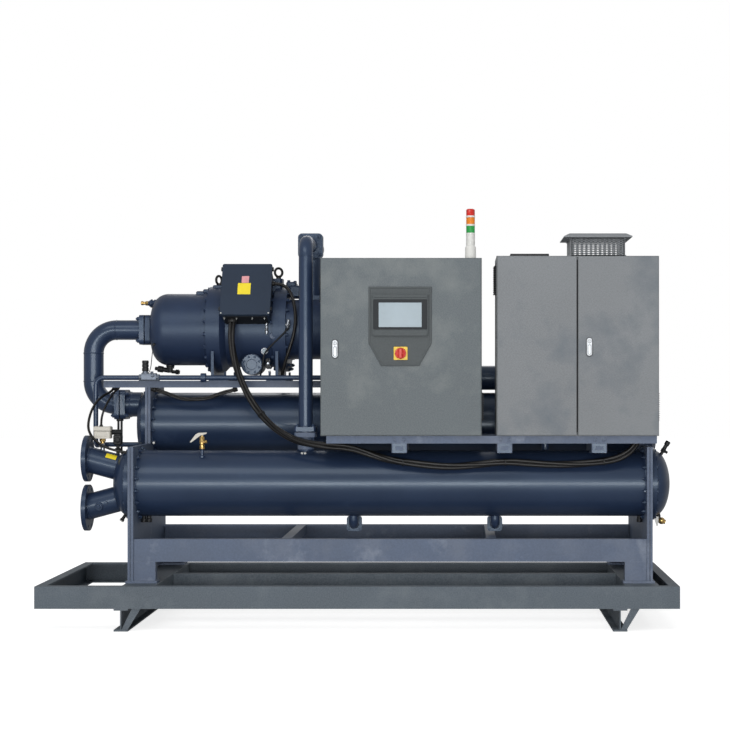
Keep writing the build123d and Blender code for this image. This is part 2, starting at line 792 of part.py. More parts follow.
# Evaporator shell between its tube plates
with BuildPart() as evaporator_shell:
    with BuildSketch(Plane.YZ.offset(LEFT_PLATE_INNER)):
        with Locations((EVAPORATOR_Y, EVAPORATOR_Z)):
            Circle(VESSEL_RADIUS)
    extrude(amount=VESSEL_LENGTH)
evaporator_shell.part.label = "evaporator_shell"
export_step(evaporator_shell.part, "parts/evaporator_shell.step")

tube_plate_middle = (TUBE_PLATE_FRONT + TUBE_PLATE_BACK) / 2
with BuildPart() as evaporator_tube_plates:
    for x in (LEFT_PLATE_OUTER, RIGHT_PLATE_INNER):
        add(layered_plate(x, TUBE_PLATE_FRONT, TUBE_PLATE_BACK, PLATE_TOP, TUBE_PLATE_TOP))
evaporator_tube_plates.part.label = "evaporator_tube_plates"
export_step(evaporator_tube_plates.part, "parts/evaporator_tube_plates.step")

# Suction head: bolted ring, flat-faced cover and the flanged suction stub
head_ring_x = LEFT_PLATE_OUTER - HEAD_RING_LENGTH
suction_face_x = LEFT_PLATE_OUTER - SUCTION_HEAD_LENGTH
suction_flange_x = SUCTION_RISER_X + SUCTION_BEND + 2 * SQUARE_FLANGE_THICKNESS + GASKET
with BuildPart() as evaporator_suction_head:
    add(
        turned_body(
            [
                (suction_face_x, VESSEL_RADIUS - HEAD_CHAMFER),
                (suction_face_x + HEAD_CHAMFER, VESSEL_RADIUS),
                (head_ring_x, VESSEL_RADIUS),
                (head_ring_x, HEAD_RING_RADIUS),
                (LEFT_PLATE_OUTER, HEAD_RING_RADIUS),
            ],
            EVAPORATOR_Y,
            EVAPORATOR_Z,
        )
    )
    with BuildSketch(Plane.YZ.offset(suction_flange_x - SQUARE_FLANGE_THICKNESS)):
        with Locations((EVAPORATOR_Y, SUCTION_LOW_Z)):
            Circle(SUCTION_STUB_RADIUS)
    extrude(amount=head_ring_x - suction_flange_x)
    add(
        square_flange_x(
            suction_flange_x - SQUARE_FLANGE_THICKNESS,
            SQUARE_FLANGE_THICKNESS,
            SQUARE_FLANGE,
            EVAPORATOR_Y,
            SUCTION_LOW_Z,
        )
    )
evaporator_suction_head.part.label = "evaporator_suction_head"
export_step(evaporator_suction_head.part, "parts/evaporator_suction_head.step")

with BuildPart() as evaporator_end_head:
    add(
        turned_body(
            [
                (RIGHT_PLATE_OUTER, HEAD_RING_RADIUS),
                (RIGHT_PLATE_OUTER + HEAD_RING_LENGTH, HEAD_RING_RADIUS),
                (RIGHT_PLATE_OUTER + HEAD_RING_LENGTH, VESSEL_RADIUS),
                (RIGHT_PLATE_OUTER + END_HEAD_LENGTH - HEAD_CHAMFER, VESSEL_RADIUS),
                (RIGHT_PLATE_OUTER + END_HEAD_LENGTH, VESSEL_RADIUS - HEAD_CHAMFER),
            ],
            EVAPORATOR_Y,
            EVAPORATOR_Z,
        )
    )
evaporator_end_head.part.label = "evaporator_end_head"
export_step(evaporator_end_head.part, "parts/evaporator_end_head.step")

# Chilled-water nozzles at the back of the evaporator
chilled_reach = BASE_DEPTH / 2 - EVAPORATOR_Y
chilled_planes = [
    Plane(origin=(x, BASE_DEPTH / 2, EVAPORATOR_Z), x_dir=(1, 0, 0), z_dir=(0, 1, 0))
    for x in CHILLED_NOZZLE_X
]
with BuildPart() as chilled_water_inlet:
    add(water_nozzle(chilled_planes[0], chilled_planes[0], chilled_reach))
    add(evaporator_shell.part, mode=Mode.SUBTRACT)
chilled_water_inlet.part.label = "chilled_water_inlet"
export_step(chilled_water_inlet.part, "parts/chilled_water_inlet.step")

with BuildPart() as chilled_water_outlet:
    add(water_nozzle(chilled_planes[1], chilled_planes[1], chilled_reach))
    add(evaporator_shell.part, mode=Mode.SUBTRACT)
chilled_water_outlet.part.label = "chilled_water_outlet"
export_step(chilled_water_outlet.part, "parts/chilled_water_outlet.step")

# Rails along the tube plates' top, and the saddle that holds their right ends
rail_offset = (TUBE_PLATE_BACK - TUBE_PLATE_FRONT - RAIL_WIDTH) / 2
with BuildPart() as compressor_rails:
    with BuildSketch(Plane.YZ.offset(RAIL_LEFT)):
        with Locations(
            (tube_plate_middle - rail_offset, TUBE_PLATE_TOP + RAIL_HEIGHT / 2),
            (tube_plate_middle + rail_offset, TUBE_PLATE_TOP + RAIL_HEIGHT / 2),
        ):
            Rectangle(RAIL_WIDTH, RAIL_HEIGHT)
    extrude(amount=RAIL_RIGHT - RAIL_LEFT)
compressor_rails.part.label = "compressor_rails"
export_step(compressor_rails.part, "parts/compressor_rails.step")

saddle_bottom = EVAPORATOR_Z + VESSEL_RADIUS / 2
with BuildPart() as rail_saddle:
    with BuildSketch(Plane.YZ.offset(RAIL_RIGHT - SADDLE_THICKNESS)):
        with Locations((tube_plate_middle, (saddle_bottom + TUBE_PLATE_TOP) / 2)):
            Rectangle(TUBE_PLATE_BACK - TUBE_PLATE_FRONT, TUBE_PLATE_TOP - saddle_bottom)
        with Locations((EVAPORATOR_Y, EVAPORATOR_Z)):
            Circle(VESSEL_RADIUS, mode=Mode.SUBTRACT)
    extrude(amount=SADDLE_THICKNESS)
rail_saddle.part.label = "rail_saddle"
export_step(rail_saddle.part, "parts/rail_saddle.step")

# Compressor, end to end: suction cover, motor casing, screw casing, oil separator
cover_ring_x = COVER_RIGHT - COVER_RING_LENGTH
cover_hub_x = COVER_LEFT - SUCTION_HUB_LENGTH
with BuildPart() as compressor_suction_cover:
    add(
        turned_body(
            [
                (COVER_LEFT, COVER_RADIUS),
                (cover_ring_x, COVER_RADIUS),
                (cover_ring_x, COVER_RING_RADIUS),
                (COVER_RIGHT, COVER_RING_RADIUS),
            ],
            COMPRESSOR_Y,
            COMPRESSOR_Z,
        )
    )
    fillet(compressor_suction_cover.edges().group_by(Axis.X)[0], radius=COVER_END_FILLET)
    with BuildSketch(Plane.YZ.offset(cover_ring_x)):
        with Locations((COMPRESSOR_Y, SUCTION_TOP_Z)):
            Circle(SUCTION_HUB_RADIUS)
    extrude(amount=cover_hub_x - cover_ring_x)
    add(
        square_flange_x(
            cover_hub_x - SQUARE_FLANGE_THICKNESS,
            SQUARE_FLANGE_THICKNESS,
            SQUARE_FLANGE,
            COMPRESSOR_Y,
            SUCTION_TOP_Z,
        )
    )
compressor_suction_cover.part.label = "compressor_suction_cover"
export_step(compressor_suction_cover.part, "parts/compressor_suction_cover.step")

lug_top = COMPRESSOR_Z + MOTOR_FLANGE_RADIUS + LUG_RISE
with BuildPart() as compressor_motor_casing:
    add(
        turned_body(
            [
                (COVER_RIGHT, MOTOR_FLANGE_RADIUS),
                (COVER_RIGHT + MOTOR_FLANGE_LENGTH, MOTOR_FLANGE_RADIUS),
                (COVER_RIGHT + MOTOR_FLANGE_LENGTH + MOTOR_SHOULDER_LENGTH, MOTOR_RADIUS),
                (MOTOR_RIGHT - CASING_FLANGE_LENGTH, MOTOR_RADIUS),
                (MOTOR_RIGHT - CASING_FLANGE_LENGTH, CASING_FLANGE_RADIUS),
                (MOTOR_RIGHT, CASING_FLANGE_RADIUS),
            ],
            COMPRESSOR_Y,
            COMPRESSOR_Z,
        )
    )
    with BuildSketch(Plane.XY.offset(COMPRESSOR_Z)):
        with Locations((MOTOR_RIGHT - LUG_LENGTH / 2, COMPRESSOR_Y)):
            RectangleRounded(LUG_LENGTH, LUG_WIDTH, LUG_CORNER)
    extrude(amount=lug_top - COMPRESSOR_Z)
    with BuildSketch(Plane.XZ.offset(-COMPRESSOR_Y)):
        with Locations((FILTER_X, FILTER_Z)):
            Circle(FILTER_RADIUS)
    extrude(amount=COMPRESSOR_Y - FILTER_FACE_Y)
compressor_motor_casing.part.label = "compressor_motor_casing"
export_step(compressor_motor_casing.part, "parts/compressor_motor_casing.step")

with BuildPart() as compressor_screw_casing:
    add(
        turned_body(
            [
                (MOTOR_RIGHT, CASING_FLANGE_RADIUS),
                (MOTOR_RIGHT + CASING_FLANGE_LENGTH, CASING_FLANGE_RADIUS),
            ],
            COMPRESSOR_Y,
            COMPRESSOR_Z,
        )
    )
    with BuildSketch(Plane.YZ.offset(MOTOR_RIGHT)):
        with Locations(
            (COMPRESSOR_Y - ROTOR_LOBE_OFFSET, COMPRESSOR_Z),
            (COMPRESSOR_Y + ROTOR_LOBE_OFFSET, COMPRESSOR_Z),
        ):
            Circle(ROTOR_LOBE_RADIUS)
        with Locations((COMPRESSOR_Y, COMPRESSOR_Z)):
            Rectangle(2 * ROTOR_LOBE_OFFSET, 2 * ROTOR_LOBE_RADIUS)
    extrude(amount=ROTOR_RIGHT - MOTOR_RIGHT)
compressor_screw_casing.part.label = "compressor_screw_casing"
export_step(compressor_screw_casing.part, "parts/compressor_screw_casing.step")

with BuildPart() as compressor_oil_separator:
    add(
        turned_body(
            [
                (ROTOR_RIGHT, MOTOR_FLANGE_RADIUS),
                (ROTOR_RIGHT + CASING_FLANGE_LENGTH, MOTOR_FLANGE_RADIUS),
                (ROTOR_RIGHT + CASING_FLANGE_LENGTH, SEPARATOR_RADIUS),
                (SEPARATOR_RIGHT, SEPARATOR_RADIUS),
            ],
            COMPRESSOR_Y,
            COMPRESSOR_Z,
        )
    )
    fillet(compressor_oil_separator.edges().group_by(Axis.X)[-1], radius=SEPARATOR_END_FILLET)
compressor_oil_separator.part.label = "compressor_oil_separator"
export_step(compressor_oil_separator.part, "parts/compressor_oil_separator.step")

# Compressor feet: upright plates on the rails, cut to the casings they carry
with BuildPart() as compressor_feet:
    with BuildSketch(Plane.XY.offset(RAIL_TOP)):
        with Locations(*[(x, tube_plate_middle) for x in FOOT_PLATES_X]):
            Rectangle(FOOT_PLATE_THICKNESS, TUBE_PLATE_BACK - TUBE_PLATE_FRONT)
    extrude(amount=FOOT_PLATE_TOP - RAIL_TOP)
    with BuildSketch(Plane.XY.offset(RAIL_TOP)):
        for x in FOOT_BASES_X:
            with Locations((x, tube_plate_middle - rail_offset), (x, tube_plate_middle + rail_offset)):
                Rectangle(FOOT_BASE_LENGTH, RAIL_WIDTH)
    extrude(amount=FOOT_BASE_THICKNESS)
    add(compressor_motor_casing.part, mode=Mode.SUBTRACT)
    add(compressor_screw_casing.part, mode=Mode.SUBTRACT)
    add(compressor_oil_separator.part, mode=Mode.SUBTRACT)
compressor_feet.part.label = "compressor_feet"
export_step(compressor_feet.part, "parts/compressor_feet.step")

# Terminal box: a leaning case with a lid, on a neck that ends at the motor casing
lean = math.radians(BOX_LEAN)
lid_plane = Plane(
    origin=(BOX_LEFT + BOX_WIDTH / 2, BOX_FOOT_Y, BOX_FOOT_Z),
    x_dir=(1, 0, 0),
    z_dir=(0, -math.cos(lean), math.sin(lean)),
)
with BuildPart() as terminal_box:
    with BuildSketch(lid_plane):
        with Locations((0, BOX_SLANT / 2)):
            RectangleRounded(BOX_WIDTH, BOX_SLANT, BOX_CORNER)
    extrude(amount=-LID_THICKNESS)
    with BuildSketch(lid_plane.offset(-LID_THICKNESS)):
        with Locations((0, BOX_SLANT / 2)):
            RectangleRounded(BOX_WIDTH - 2 * LID_OVERHANG, BOX_SLANT - 2 * LID_OVERHANG, BOX_CORNER)
    extrude(amount=LID_THICKNESS - BOX_DEPTH)
    with BuildSketch(lid_plane.offset(-BOX_DEPTH)):
        with Locations((0, BOX_NECK_MIDDLE)):
            Rectangle(BOX_NECK_WIDTH, BOX_NECK_HEIGHT)
    extrude(amount=-COVER_RADIUS)
    add(compressor_motor_casing.part, mode=Mode.SUBTRACT)
terminal_box.part.label = "terminal_box"
export_step(terminal_box.part, "parts/terminal_box.step")

# Eye bolts on top of the motor casing, at its flange and at its lug
eye_spots = ((EYE_LEFT_X, COMPRESSOR_Z + MOTOR_FLANGE_RADIUS), (EYE_RIGHT_X, lug_top))
with BuildPart() as compressor_eye_bolts:
    for (x, z), turn in zip(eye_spots, EYE_TURNS):
        with BuildSketch(Plane.XY.offset(z)):
            with Locations((x, COMPRESSOR_Y)):
                Circle(EYE_BAR_RADIUS * 2)
        extrude(amount=EYE_BAR_RADIUS * 2)
        ring_z = z + EYE_RADIUS + 2 * EYE_BAR_RADIUS
        with Locations(Location((x, COMPRESSOR_Y, ring_z), (90, turn, 0))):
            Torus(EYE_RADIUS, EYE_BAR_RADIUS)
compressor_eye_bolts.part.label = "compressor_eye_bolts"
export_step(compressor_eye_bolts.part, "parts/compressor_eye_bolts.step")

# Suction pipe from the evaporator's suction head up to the compressor, flanged at both ends
upper_flange_x = cover_hub_x - 2 * SQUARE_FLANGE_THICKNESS - GASKET
lower_flange_x = SUCTION_RISER_X + SUCTION_BEND
with BuildPart() as suction_pipe:
    add(
        bent_pipe(
            [
                (upper_flange_x + FLANGE_WELD_DEPTH, COMPRESSOR_Y, SUCTION_TOP_Z),
                (SUCTION_RISER_X, COMPRESSOR_Y, SUCTION_TOP_Z),
                (SUCTION_RISER_X, COMPRESSOR_Y, SUCTION_LOW_Z),
                (lower_flange_x + FLANGE_WELD_DEPTH, COMPRESSOR_Y, SUCTION_LOW_Z),
            ],
            SUCTION_BEND,
            SUCTION_RADIUS,
        )
    )
    for x, z in ((upper_flange_x, SUCTION_TOP_Z), (lower_flange_x, SUCTION_LOW_Z)):
        add(square_flange_x(x, SQUARE_FLANGE_THICKNESS, SQUARE_FLANGE, COMPRESSOR_Y, z))
        with BuildSketch(Plane.YZ.offset(x + SQUARE_FLANGE_THICKNESS)):
            with Locations((COMPRESSOR_Y, z)):
                Circle(SUCTION_RADIUS + GASKET_MARGIN)
        extrude(amount=GASKET)
suction_pipe.part.label = "suction_pipe"
export_step(suction_pipe.part, "parts/suction_pipe.step")

# Gas inlet stub on the condenser, and the discharge pipe that stands on it
with BuildPart() as condenser_gas_inlet:
    with BuildSketch(Plane.XY.offset(CONDENSER_Z)):
        with Locations((DISCHARGE_X, CONDENSER_Y)):
            Circle(GAS_STUB_RADIUS)
    extrude(amount=GAS_FLANGE_Z - CONDENSER_Z)
    with BuildSketch(Plane.XY.offset(GAS_FLANGE_Z)):
        with Locations((DISCHARGE_X, CONDENSER_Y)):
            RectangleRounded(GAS_FLANGE, GAS_FLANGE, GAS_FLANGE_CORNER)
    extrude(amount=GAS_FLANGE_THICKNESS)
    add(condenser_shell.part, mode=Mode.SUBTRACT)
condenser_gas_inlet.part.label = "condenser_gas_inlet"
export_step(condenser_gas_inlet.part, "parts/condenser_gas_inlet.step")

pipe_foot_z = GAS_FLANGE_Z + GAS_FLANGE_THICKNESS
with BuildPart() as discharge_pipe:
    with BuildSketch(Plane.XY.offset(pipe_foot_z)):
        with Locations((DISCHARGE_X, CONDENSER_Y)):
            Circle(GAS_STUB_RADIUS)
    extrude(amount=GASKET)
    with BuildSketch(Plane.XY.offset(pipe_foot_z + GASKET)):
        with Locations((DISCHARGE_X, CONDENSER_Y)):
            RectangleRounded(GAS_FLANGE, GAS_FLANGE, GAS_FLANGE_CORNER)
    extrude(amount=GAS_FLANGE_THICKNESS)
    add(
        bent_pipe(
            [
                (DISCHARGE_X, CONDENSER_Y, pipe_foot_z + GASKET),
                (DISCHARGE_X, CONDENSER_Y, DISCHARGE_TOP_Z),
                (DISCHARGE_X, DISCHARGE_FLANGE_Y + FLANGE_WELD_DEPTH, DISCHARGE_TOP_Z),
            ],
            DISCHARGE_BEND,
            DISCHARGE_RADIUS,
        )
    )
    with BuildSketch(Plane.XZ.offset(-DISCHARGE_FLANGE_Y)):
        with Locations((DISCHARGE_X, DISCHARGE_TOP_Z)):
            RectangleRounded(DISCHARGE_FLANGE, DISCHARGE_FLANGE, DISCHARGE_FLANGE / 6)
    extrude(amount=-GAS_FLANGE_THICKNESS)
discharge_pipe.part.label = "discharge_pipe"
export_step(discharge_pipe.part, "parts/discharge_pipe.step")

# Discharge valve: flanged angle body on a riser from the screw casing
valve_flange_y = DISCHARGE_FLANGE_Y + GAS_FLANGE_THICKNESS
valve_back_y = COMPRESSOR_Y + VALVE_BODY_RADIUS + VALVE_BODY_OVERHANG
riser_flange_z = COMPRESSOR_Z + ROTOR_LOBE_RADIUS
with BuildPart() as discharge_valve:
    with BuildSketch(Plane.XZ.offset(-valve_flange_y)):
        with Locations((DISCHARGE_X, DISCHARGE_TOP_Z)):
            Circle(GAS_STUB_RADIUS)
    extrude(amount=-GASKET)
    with BuildSketch(Plane.XZ.offset(-(valve_flange_y + GASKET))):
        with Locations((DISCHARGE_X, DISCHARGE_TOP_Z)):
            RectangleRounded(DISCHARGE_FLANGE, DISCHARGE_FLANGE, DISCHARGE_FLANGE / 6)
    extrude(amount=-GAS_FLANGE_THICKNESS)
    with BuildSketch(Plane.XZ.offset(-(valve_flange_y + GASKET))):
        with Locations((DISCHARGE_X, DISCHARGE_TOP_Z)):
            Circle(VALVE_BODY_RADIUS)
    extrude(amount=valve_flange_y + GASKET - valve_back_y)
    with BuildSketch(Plane.XY.offset(riser_flange_z)):
        with Locations((DISCHARGE_X, COMPRESSOR_Y)):
            Circle(VALVE_RISER_RADIUS)
    extrude(amount=DISCHARGE_TOP_Z - riser_flange_z)
    with BuildSketch(Plane.XY.offset(riser_flange_z)):
        with Locations((DISCHARGE_X, COMPRESSOR_Y)):
            RectangleRounded(DISCHARGE_FLANGE, DISCHARGE_FLANGE, DISCHARGE_FLANGE / 6)
    extrude(amount=GAS_FLANGE_THICKNESS)
discharge_valve.part.label = "discharge_valve"
export_step(discharge_valve.part, "parts/discharge_valve.step")

# Liquid outlets under the condenser: small elbows that turn to the back
with BuildPart() as liquid_outlets:
    for x in LIQUID_OUTLETS_X:
        add(
            bent_pipe(
                [
                    (x, CONDENSER_Y, CONDENSER_Z - VESSEL_RADIUS + OUTLET_SINK),
                    (x, CONDENSER_Y, OUTLET_Z),
                    (x, OUTLET_FACE_Y - OUTLET_FLANGE_THICKNESS / 2, OUTLET_Z),
                ],
                OUTLET_BEND,
                OUTLET_PIPE_RADIUS,
            )
        )
    with BuildSketch(Plane.XZ.offset(-OUTLET_FACE_Y)):
        with Locations(*[(x, OUTLET_Z) for x in LIQUID_OUTLETS_X]):
            RectangleRounded(OUTLET_FLANGE, OUTLET_FLANGE, OUTLET_FLANGE / 5)
    extrude(amount=OUTLET_FLANGE_THICKNESS)
    add(condenser_shell.part, mode=Mode.SUBTRACT)
liquid_outlets.part.label = "liquid_outlets"
export_step(liquid_outlets.part, "parts/liquid_outlets.step")

# Liquid line: both outlets, a manifold behind the condenser and a riser to the filter drier
line_flange_y = OUTLET_FACE_Y + OUTLET_FLANGE_THICKNESS
with BuildPart() as liquid_line:
    add(
        bent_pipe(
            [
                (LIQUID_OUTLETS_X[0], OUTLET_FACE_Y, OUTLET_Z),
                (LIQUID_OUTLETS_X[0], LIQUID_Y, OUTLET_Z),
                (LIQUID_OUTLETS_X[0], LIQUID_Y, LIQUID_MANIFOLD_Z),
                (LIQUID_RISER_X, LIQUID_Y, LIQUID_MANIFOLD_Z),
                (LIQUID_RISER_X, LIQUID_Y, FEED_Z),
                (LIQUID_RISER_X, EVAPORATOR_Y, FEED_Z),
                (DRIER_RIGHT, EVAPORATOR_Y, FEED_Z),
            ],
            LIQUID_BEND,
            LIQUID_RADIUS,
        )
    )
    add(
        bent_pipe(
            [
                (LIQUID_OUTLETS_X[1], OUTLET_FACE_Y, OUTLET_Z),
                (LIQUID_OUTLETS_X[1], LIQUID_Y, OUTLET_Z),
                (LIQUID_OUTLETS_X[1], LIQUID_Y, LIQUID_MANIFOLD_Z),
            ],
            LIQUID_BEND,
            LIQUID_RADIUS,
        )
    )
    with BuildSketch(Plane.XZ.offset(-line_flange_y)):
        with Locations(*[(x, OUTLET_Z) for x in LIQUID_OUTLETS_X]):
            RectangleRounded(OUTLET_FLANGE, OUTLET_FLANGE, OUTLET_FLANGE / 5)
    extrude(amount=OUTLET_FLANGE_THICKNESS)
liquid_line.part.label = "liquid_line"
export_step(liquid_line.part, "parts/liquid_line.step")

# Filter drier, lying along the top of the evaporator on two clips
with BuildPart() as filter_drier:
    add(
        turned_body(
            [
                (DRIER_LEFT, DRIER_NECK_RADIUS),
                (DRIER_LEFT + DRIER_END, DRIER_RADIUS),
                (DRIER_RIGHT - DRIER_END, DRIER_RADIUS),
                (DRIER_RIGHT, DRIER_NECK_RADIUS),
            ],
            EVAPORATOR_Y,
            FEED_Z,
        )
    )
    with BuildSketch(Plane.XY.offset(EVAPORATOR_Z)):
        with Locations((DRIER_LEFT + CLIP_INSET, EVAPORATOR_Y), (DRIER_RIGHT - CLIP_INSET, EVAPORATOR_Y)):
            Rectangle(CLIP_WIDTH, DRIER_RADIUS)
    extrude(amount=FEED_Z - EVAPORATOR_Z)
    add(evaporator_shell.part, mode=Mode.SUBTRACT)
filter_drier.part.label = "filter_drier"
export_step(filter_drier.part, "parts/filter_drier.step")

# Feed line: thin pipe from the drier along the front rail, down and into the suction head
with BuildPart() as feed_line:
    add(
        bent_pipe(
            [
                (DRIER_LEFT, EVAPORATOR_Y, FEED_Z),
                (FEED_RIGHT_X, EVAPORATOR_Y, FEED_Z),
                (FEED_RIGHT_X, FEED_Y, FEED_Z),
                (FEED_DROP_X, FEED_Y, FEED_Z),
                (FEED_DROP_X, FEED_Y, FEED_INLET_Z),
                (FEED_DROP_X, FEED_INLET_Y, FEED_INLET_Z),
                (suction_face_x, FEED_INLET_Y, FEED_INLET_Z),
            ],
            FEED_BEND,
            FEED_RADIUS,
        )
    )
    with BuildSketch(Plane.YZ.offset(COUPLING_X - COUPLING_LENGTH / 2)):
        with Locations((FEED_Y, FEED_Z)):
            Circle(COUPLING_RADIUS)
    extrude(amount=COUPLING_LENGTH)
feed_line.part.label = "feed_line"
export_step(feed_line.part, "parts/feed_line.step")

# Expansion valve around the feed line: a block body and an upright head
with BuildPart() as expansion_valve:
    with BuildSketch(Plane.YZ.offset(VALVE_LEFT)):
        with Locations((FEED_Y, FEED_Z + VALVE_RISE)):
            RectangleRounded(VALVE_SIZE, VALVE_SIZE, VALVE_CORNER)
    extrude(amount=VALVE_LENGTH)
    with BuildSketch(Plane.XY.offset(FEED_Z + VALVE_RISE + VALVE_SIZE / 2)):
        with Locations((VALVE_LEFT + VALVE_HEAD_RADIUS, FEED_Y)):
            Circle(VALVE_HEAD_RADIUS)
    extrude(amount=VALVE_HEAD_HEIGHT)
    add(feed_line.part, mode=Mode.SUBTRACT)
expansion_valve.part.label = "expansion_valve"
export_step(expansion_valve.part, "parts/expansion_valve.step")

# Cabinet frame: two rails, and brackets that carry them on the condenser
rail_bottom = CABINET_BOTTOM - FRAME_RAIL_HEIGHT
with BuildPart() as cabinet_rails:
    with BuildSketch(Plane.YZ.offset(FRAME_LEFT)):
        with Locations(
            (FRONT_RAIL_Y, rail_bottom + FRAME_RAIL_HEIGHT / 2),
            (BACK_RAIL_Y, rail_bottom + FRAME_RAIL_HEIGHT / 2),
        ):
            Rectangle(FRAME_RAIL_WIDTH, FRAME_RAIL_HEIGHT)
    extrude(amount=FRAME_RIGHT - FRAME_LEFT)
cabinet_rails.part.label = "cabinet_rails"
export_step(cabinet_rails.part, "parts/cabinet_rails.step")

bracket_front = FRONT_RAIL_Y - FRAME_RAIL_WIDTH / 2
bracket_back = BACK_RAIL_Y + FRAME_RAIL_WIDTH / 2
with BuildPart() as cabinet_brackets:
    for x in BRACKET_CENTRES:
        with BuildSketch(Plane.YZ.offset(x - BRACKET_WIDTH / 2)):
            with Locations(((bracket_front + bracket_back) / 2, rail_bottom - BRACKET_HEIGHT / 2)):
                Rectangle(bracket_back - bracket_front, BRACKET_HEIGHT)
            with Locations((CONDENSER_Y, rail_bottom - BRACKET_HEIGHT)):
                Rectangle(BRACKET_SADDLE_WIDTH, BRACKET_HEIGHT)
            with Locations((CONDENSER_Y, CONDENSER_Z)):
                Circle(VESSEL_RADIUS, mode=Mode.SUBTRACT)
        extrude(amount=BRACKET_WIDTH)
cabinet_brackets.part.label = "cabinet_brackets"
export_step(cabinet_brackets.part, "parts/cabinet_brackets.step")

# Control cabinet and starter cabinet
with BuildPart() as control_cabinet_body:
    add(cabinet_shell(CONTROL_LEFT, CONTROL_RIGHT, CONTROL_TOP))
control_cabinet_body.part.label = "control_cabinet_body"
export_step(control_cabinet_body.part, "parts/control_cabinet_body.step")

with BuildPart() as starter_cabinet_body:
    add(cabinet_shell(STARTER_LEFT, STARTER_RIGHT, STARTER_TOP))
starter_cabinet_body.part.label = "starter_cabinet_body"
export_step(starter_cabinet_body.part, "parts/starter_cabinet_body.step")

# Mounting plates inside the cabinets, on stand-offs from the back walls
inner_back_y = CABINET_BACK - CABINET_WALL
with BuildPart() as cabinet_mounting_plates:
    for left, right, top in (
        (CONTROL_LEFT, CONTROL_RIGHT, CONTROL_TOP),
        (STARTER_LEFT, STARTER_RIGHT, STARTER_TOP),
    ):
        middle = ((left + right) / 2, (CABINET_BOTTOM + top) / 2)
        width = right - left - 2 * MOUNTING_PLATE_MARGIN
        height = top - CABINET_BOTTOM - 2 * MOUNTING_PLATE_MARGIN
        with BuildSketch(Plane.XZ.offset(-inner_back_y)):
            with Locations(middle):
                with GridLocations(width - 2 * STANDOFF_INSET, height - 2 * STANDOFF_INSET, 2, 2):
                    Circle(STANDOFF_RADIUS)
        extrude(amount=STANDOFF_LENGTH)
        with BuildSketch(Plane.XZ.offset(-(inner_back_y - STANDOFF_LENGTH))):
            with Locations(middle):
                Rectangle(width, height)
        extrude(amount=MOUNTING_PLATE_THICKNESS)
cabinet_mounting_plates.part.label = "cabinet_mounting_plates"
export_step(cabinet_mounting_plates.part, "parts/cabinet_mounting_plates.step")

# Doors: one on the control cabinet, two on the starter cabinet
with BuildPart() as control_door:
    add(door_leaf(CONTROL_LEFT, CONTROL_RIGHT, CONTROL_TOP))
control_door.part.label = "control_door"
export_step(control_door.part, "parts/control_door.step")

with BuildPart() as starter_left_door:
    add(door_leaf(STARTER_LEFT, DOOR_SPLIT_X, STARTER_TOP))
starter_left_door.part.label = "starter_left_door"
export_step(starter_left_door.part, "parts/starter_left_door.step")

with BuildPart() as starter_right_door:
    add(door_leaf(DOOR_SPLIT_X, STARTER_RIGHT, STARTER_TOP))
starter_right_door.part.label = "starter_right_door"
export_step(starter_right_door.part, "parts/starter_right_door.step")

# Operator panel on the control door: plate with cut lower corners, and a raised display case
panel_half = PANEL_WIDTH / 2
with BuildPart() as operator_panel:
    with BuildSketch(Plane.XZ.offset(-CABINET_FRONT)):
        with BuildLine():
            Polyline(
                (PANEL_X - panel_half, PANEL_TOP),
                (PANEL_X + panel_half, PANEL_TOP),
                (PANEL_X + panel_half, PANEL_CORNER_Z),
                (PANEL_X + panel_half - PANEL_CORNER, PANEL_BOTTOM),
                (PANEL_X - panel_half + PANEL_CORNER, PANEL_BOTTOM),
                (PANEL_X - panel_half, PANEL_CORNER_Z),
                close=True,
            )
        make_face()
    extrude(amount=PANEL_THICKNESS)
    with BuildSketch(Plane.XZ.offset(-CABINET_FRONT + PANEL_THICKNESS)):
        with Locations((PANEL_X, DISPLAY_Z)):
            RectangleRounded(DISPLAY_WIDTH, DISPLAY_HEIGHT, DISPLAY_CORNER)
    extrude(amount=DISPLAY_THICKNESS)
    with BuildSketch(Plane.XZ.offset(-CABINET_FRONT + PANEL_THICKNESS)):
        with Locations((SWITCH_X, SWITCH_Z)):
            RectangleRounded(SWITCH_PLATE, SWITCH_PLATE, SWITCH_PLATE_CORNER)
    extrude(amount=SWITCH_PLATE_THICKNESS)
    with BuildSketch(Plane.XZ.offset(-CABINET_FRONT)):
        with Locations((SWITCH_X, SWITCH_Z)):
            Circle(SPINDLE_RADIUS + SPINDLE_CLEARANCE)
    extrude(amount=PANEL_THICKNESS + SWITCH_PLATE_THICKNESS, mode=Mode.SUBTRACT)
operator_panel.part.label = "operator_panel"
export_step(operator_panel.part, "parts/operator_panel.step")

# Main switch: round knob with a raised grip, on a spindle that enters the panel
spindle_start_y = CABINET_FRONT - SPINDLE_START
knob_back = CABINET_FRONT - PANEL_THICKNESS - SWITCH_PLATE_THICKNESS - KNOB_CLEARANCE
with BuildPart() as main_switch:
    with BuildSketch(Plane.XZ.offset(-spindle_start_y)):
        with Locations((SWITCH_X, SWITCH_Z)):
            Circle(SPINDLE_RADIUS)
    extrude(amount=spindle_start_y - knob_back)
    with BuildSketch(Plane.XZ.offset(-knob_back)):
        with Locations((SWITCH_X, SWITCH_Z)):
            Circle(KNOB_RADIUS)
    extrude(amount=KNOB_THICKNESS)
    with BuildSketch(Plane.XZ.offset(-(knob_back - KNOB_THICKNESS))):
        with Locations((SWITCH_X, SWITCH_Z)):
            RectangleRounded(GRIP_WIDTH, GRIP_LENGTH, GRIP_WIDTH / 3)
    extrude(amount=GRIP_HEIGHT)
main_switch.part.label = "main_switch"
export_step(main_switch.part, "parts/main_switch.step")

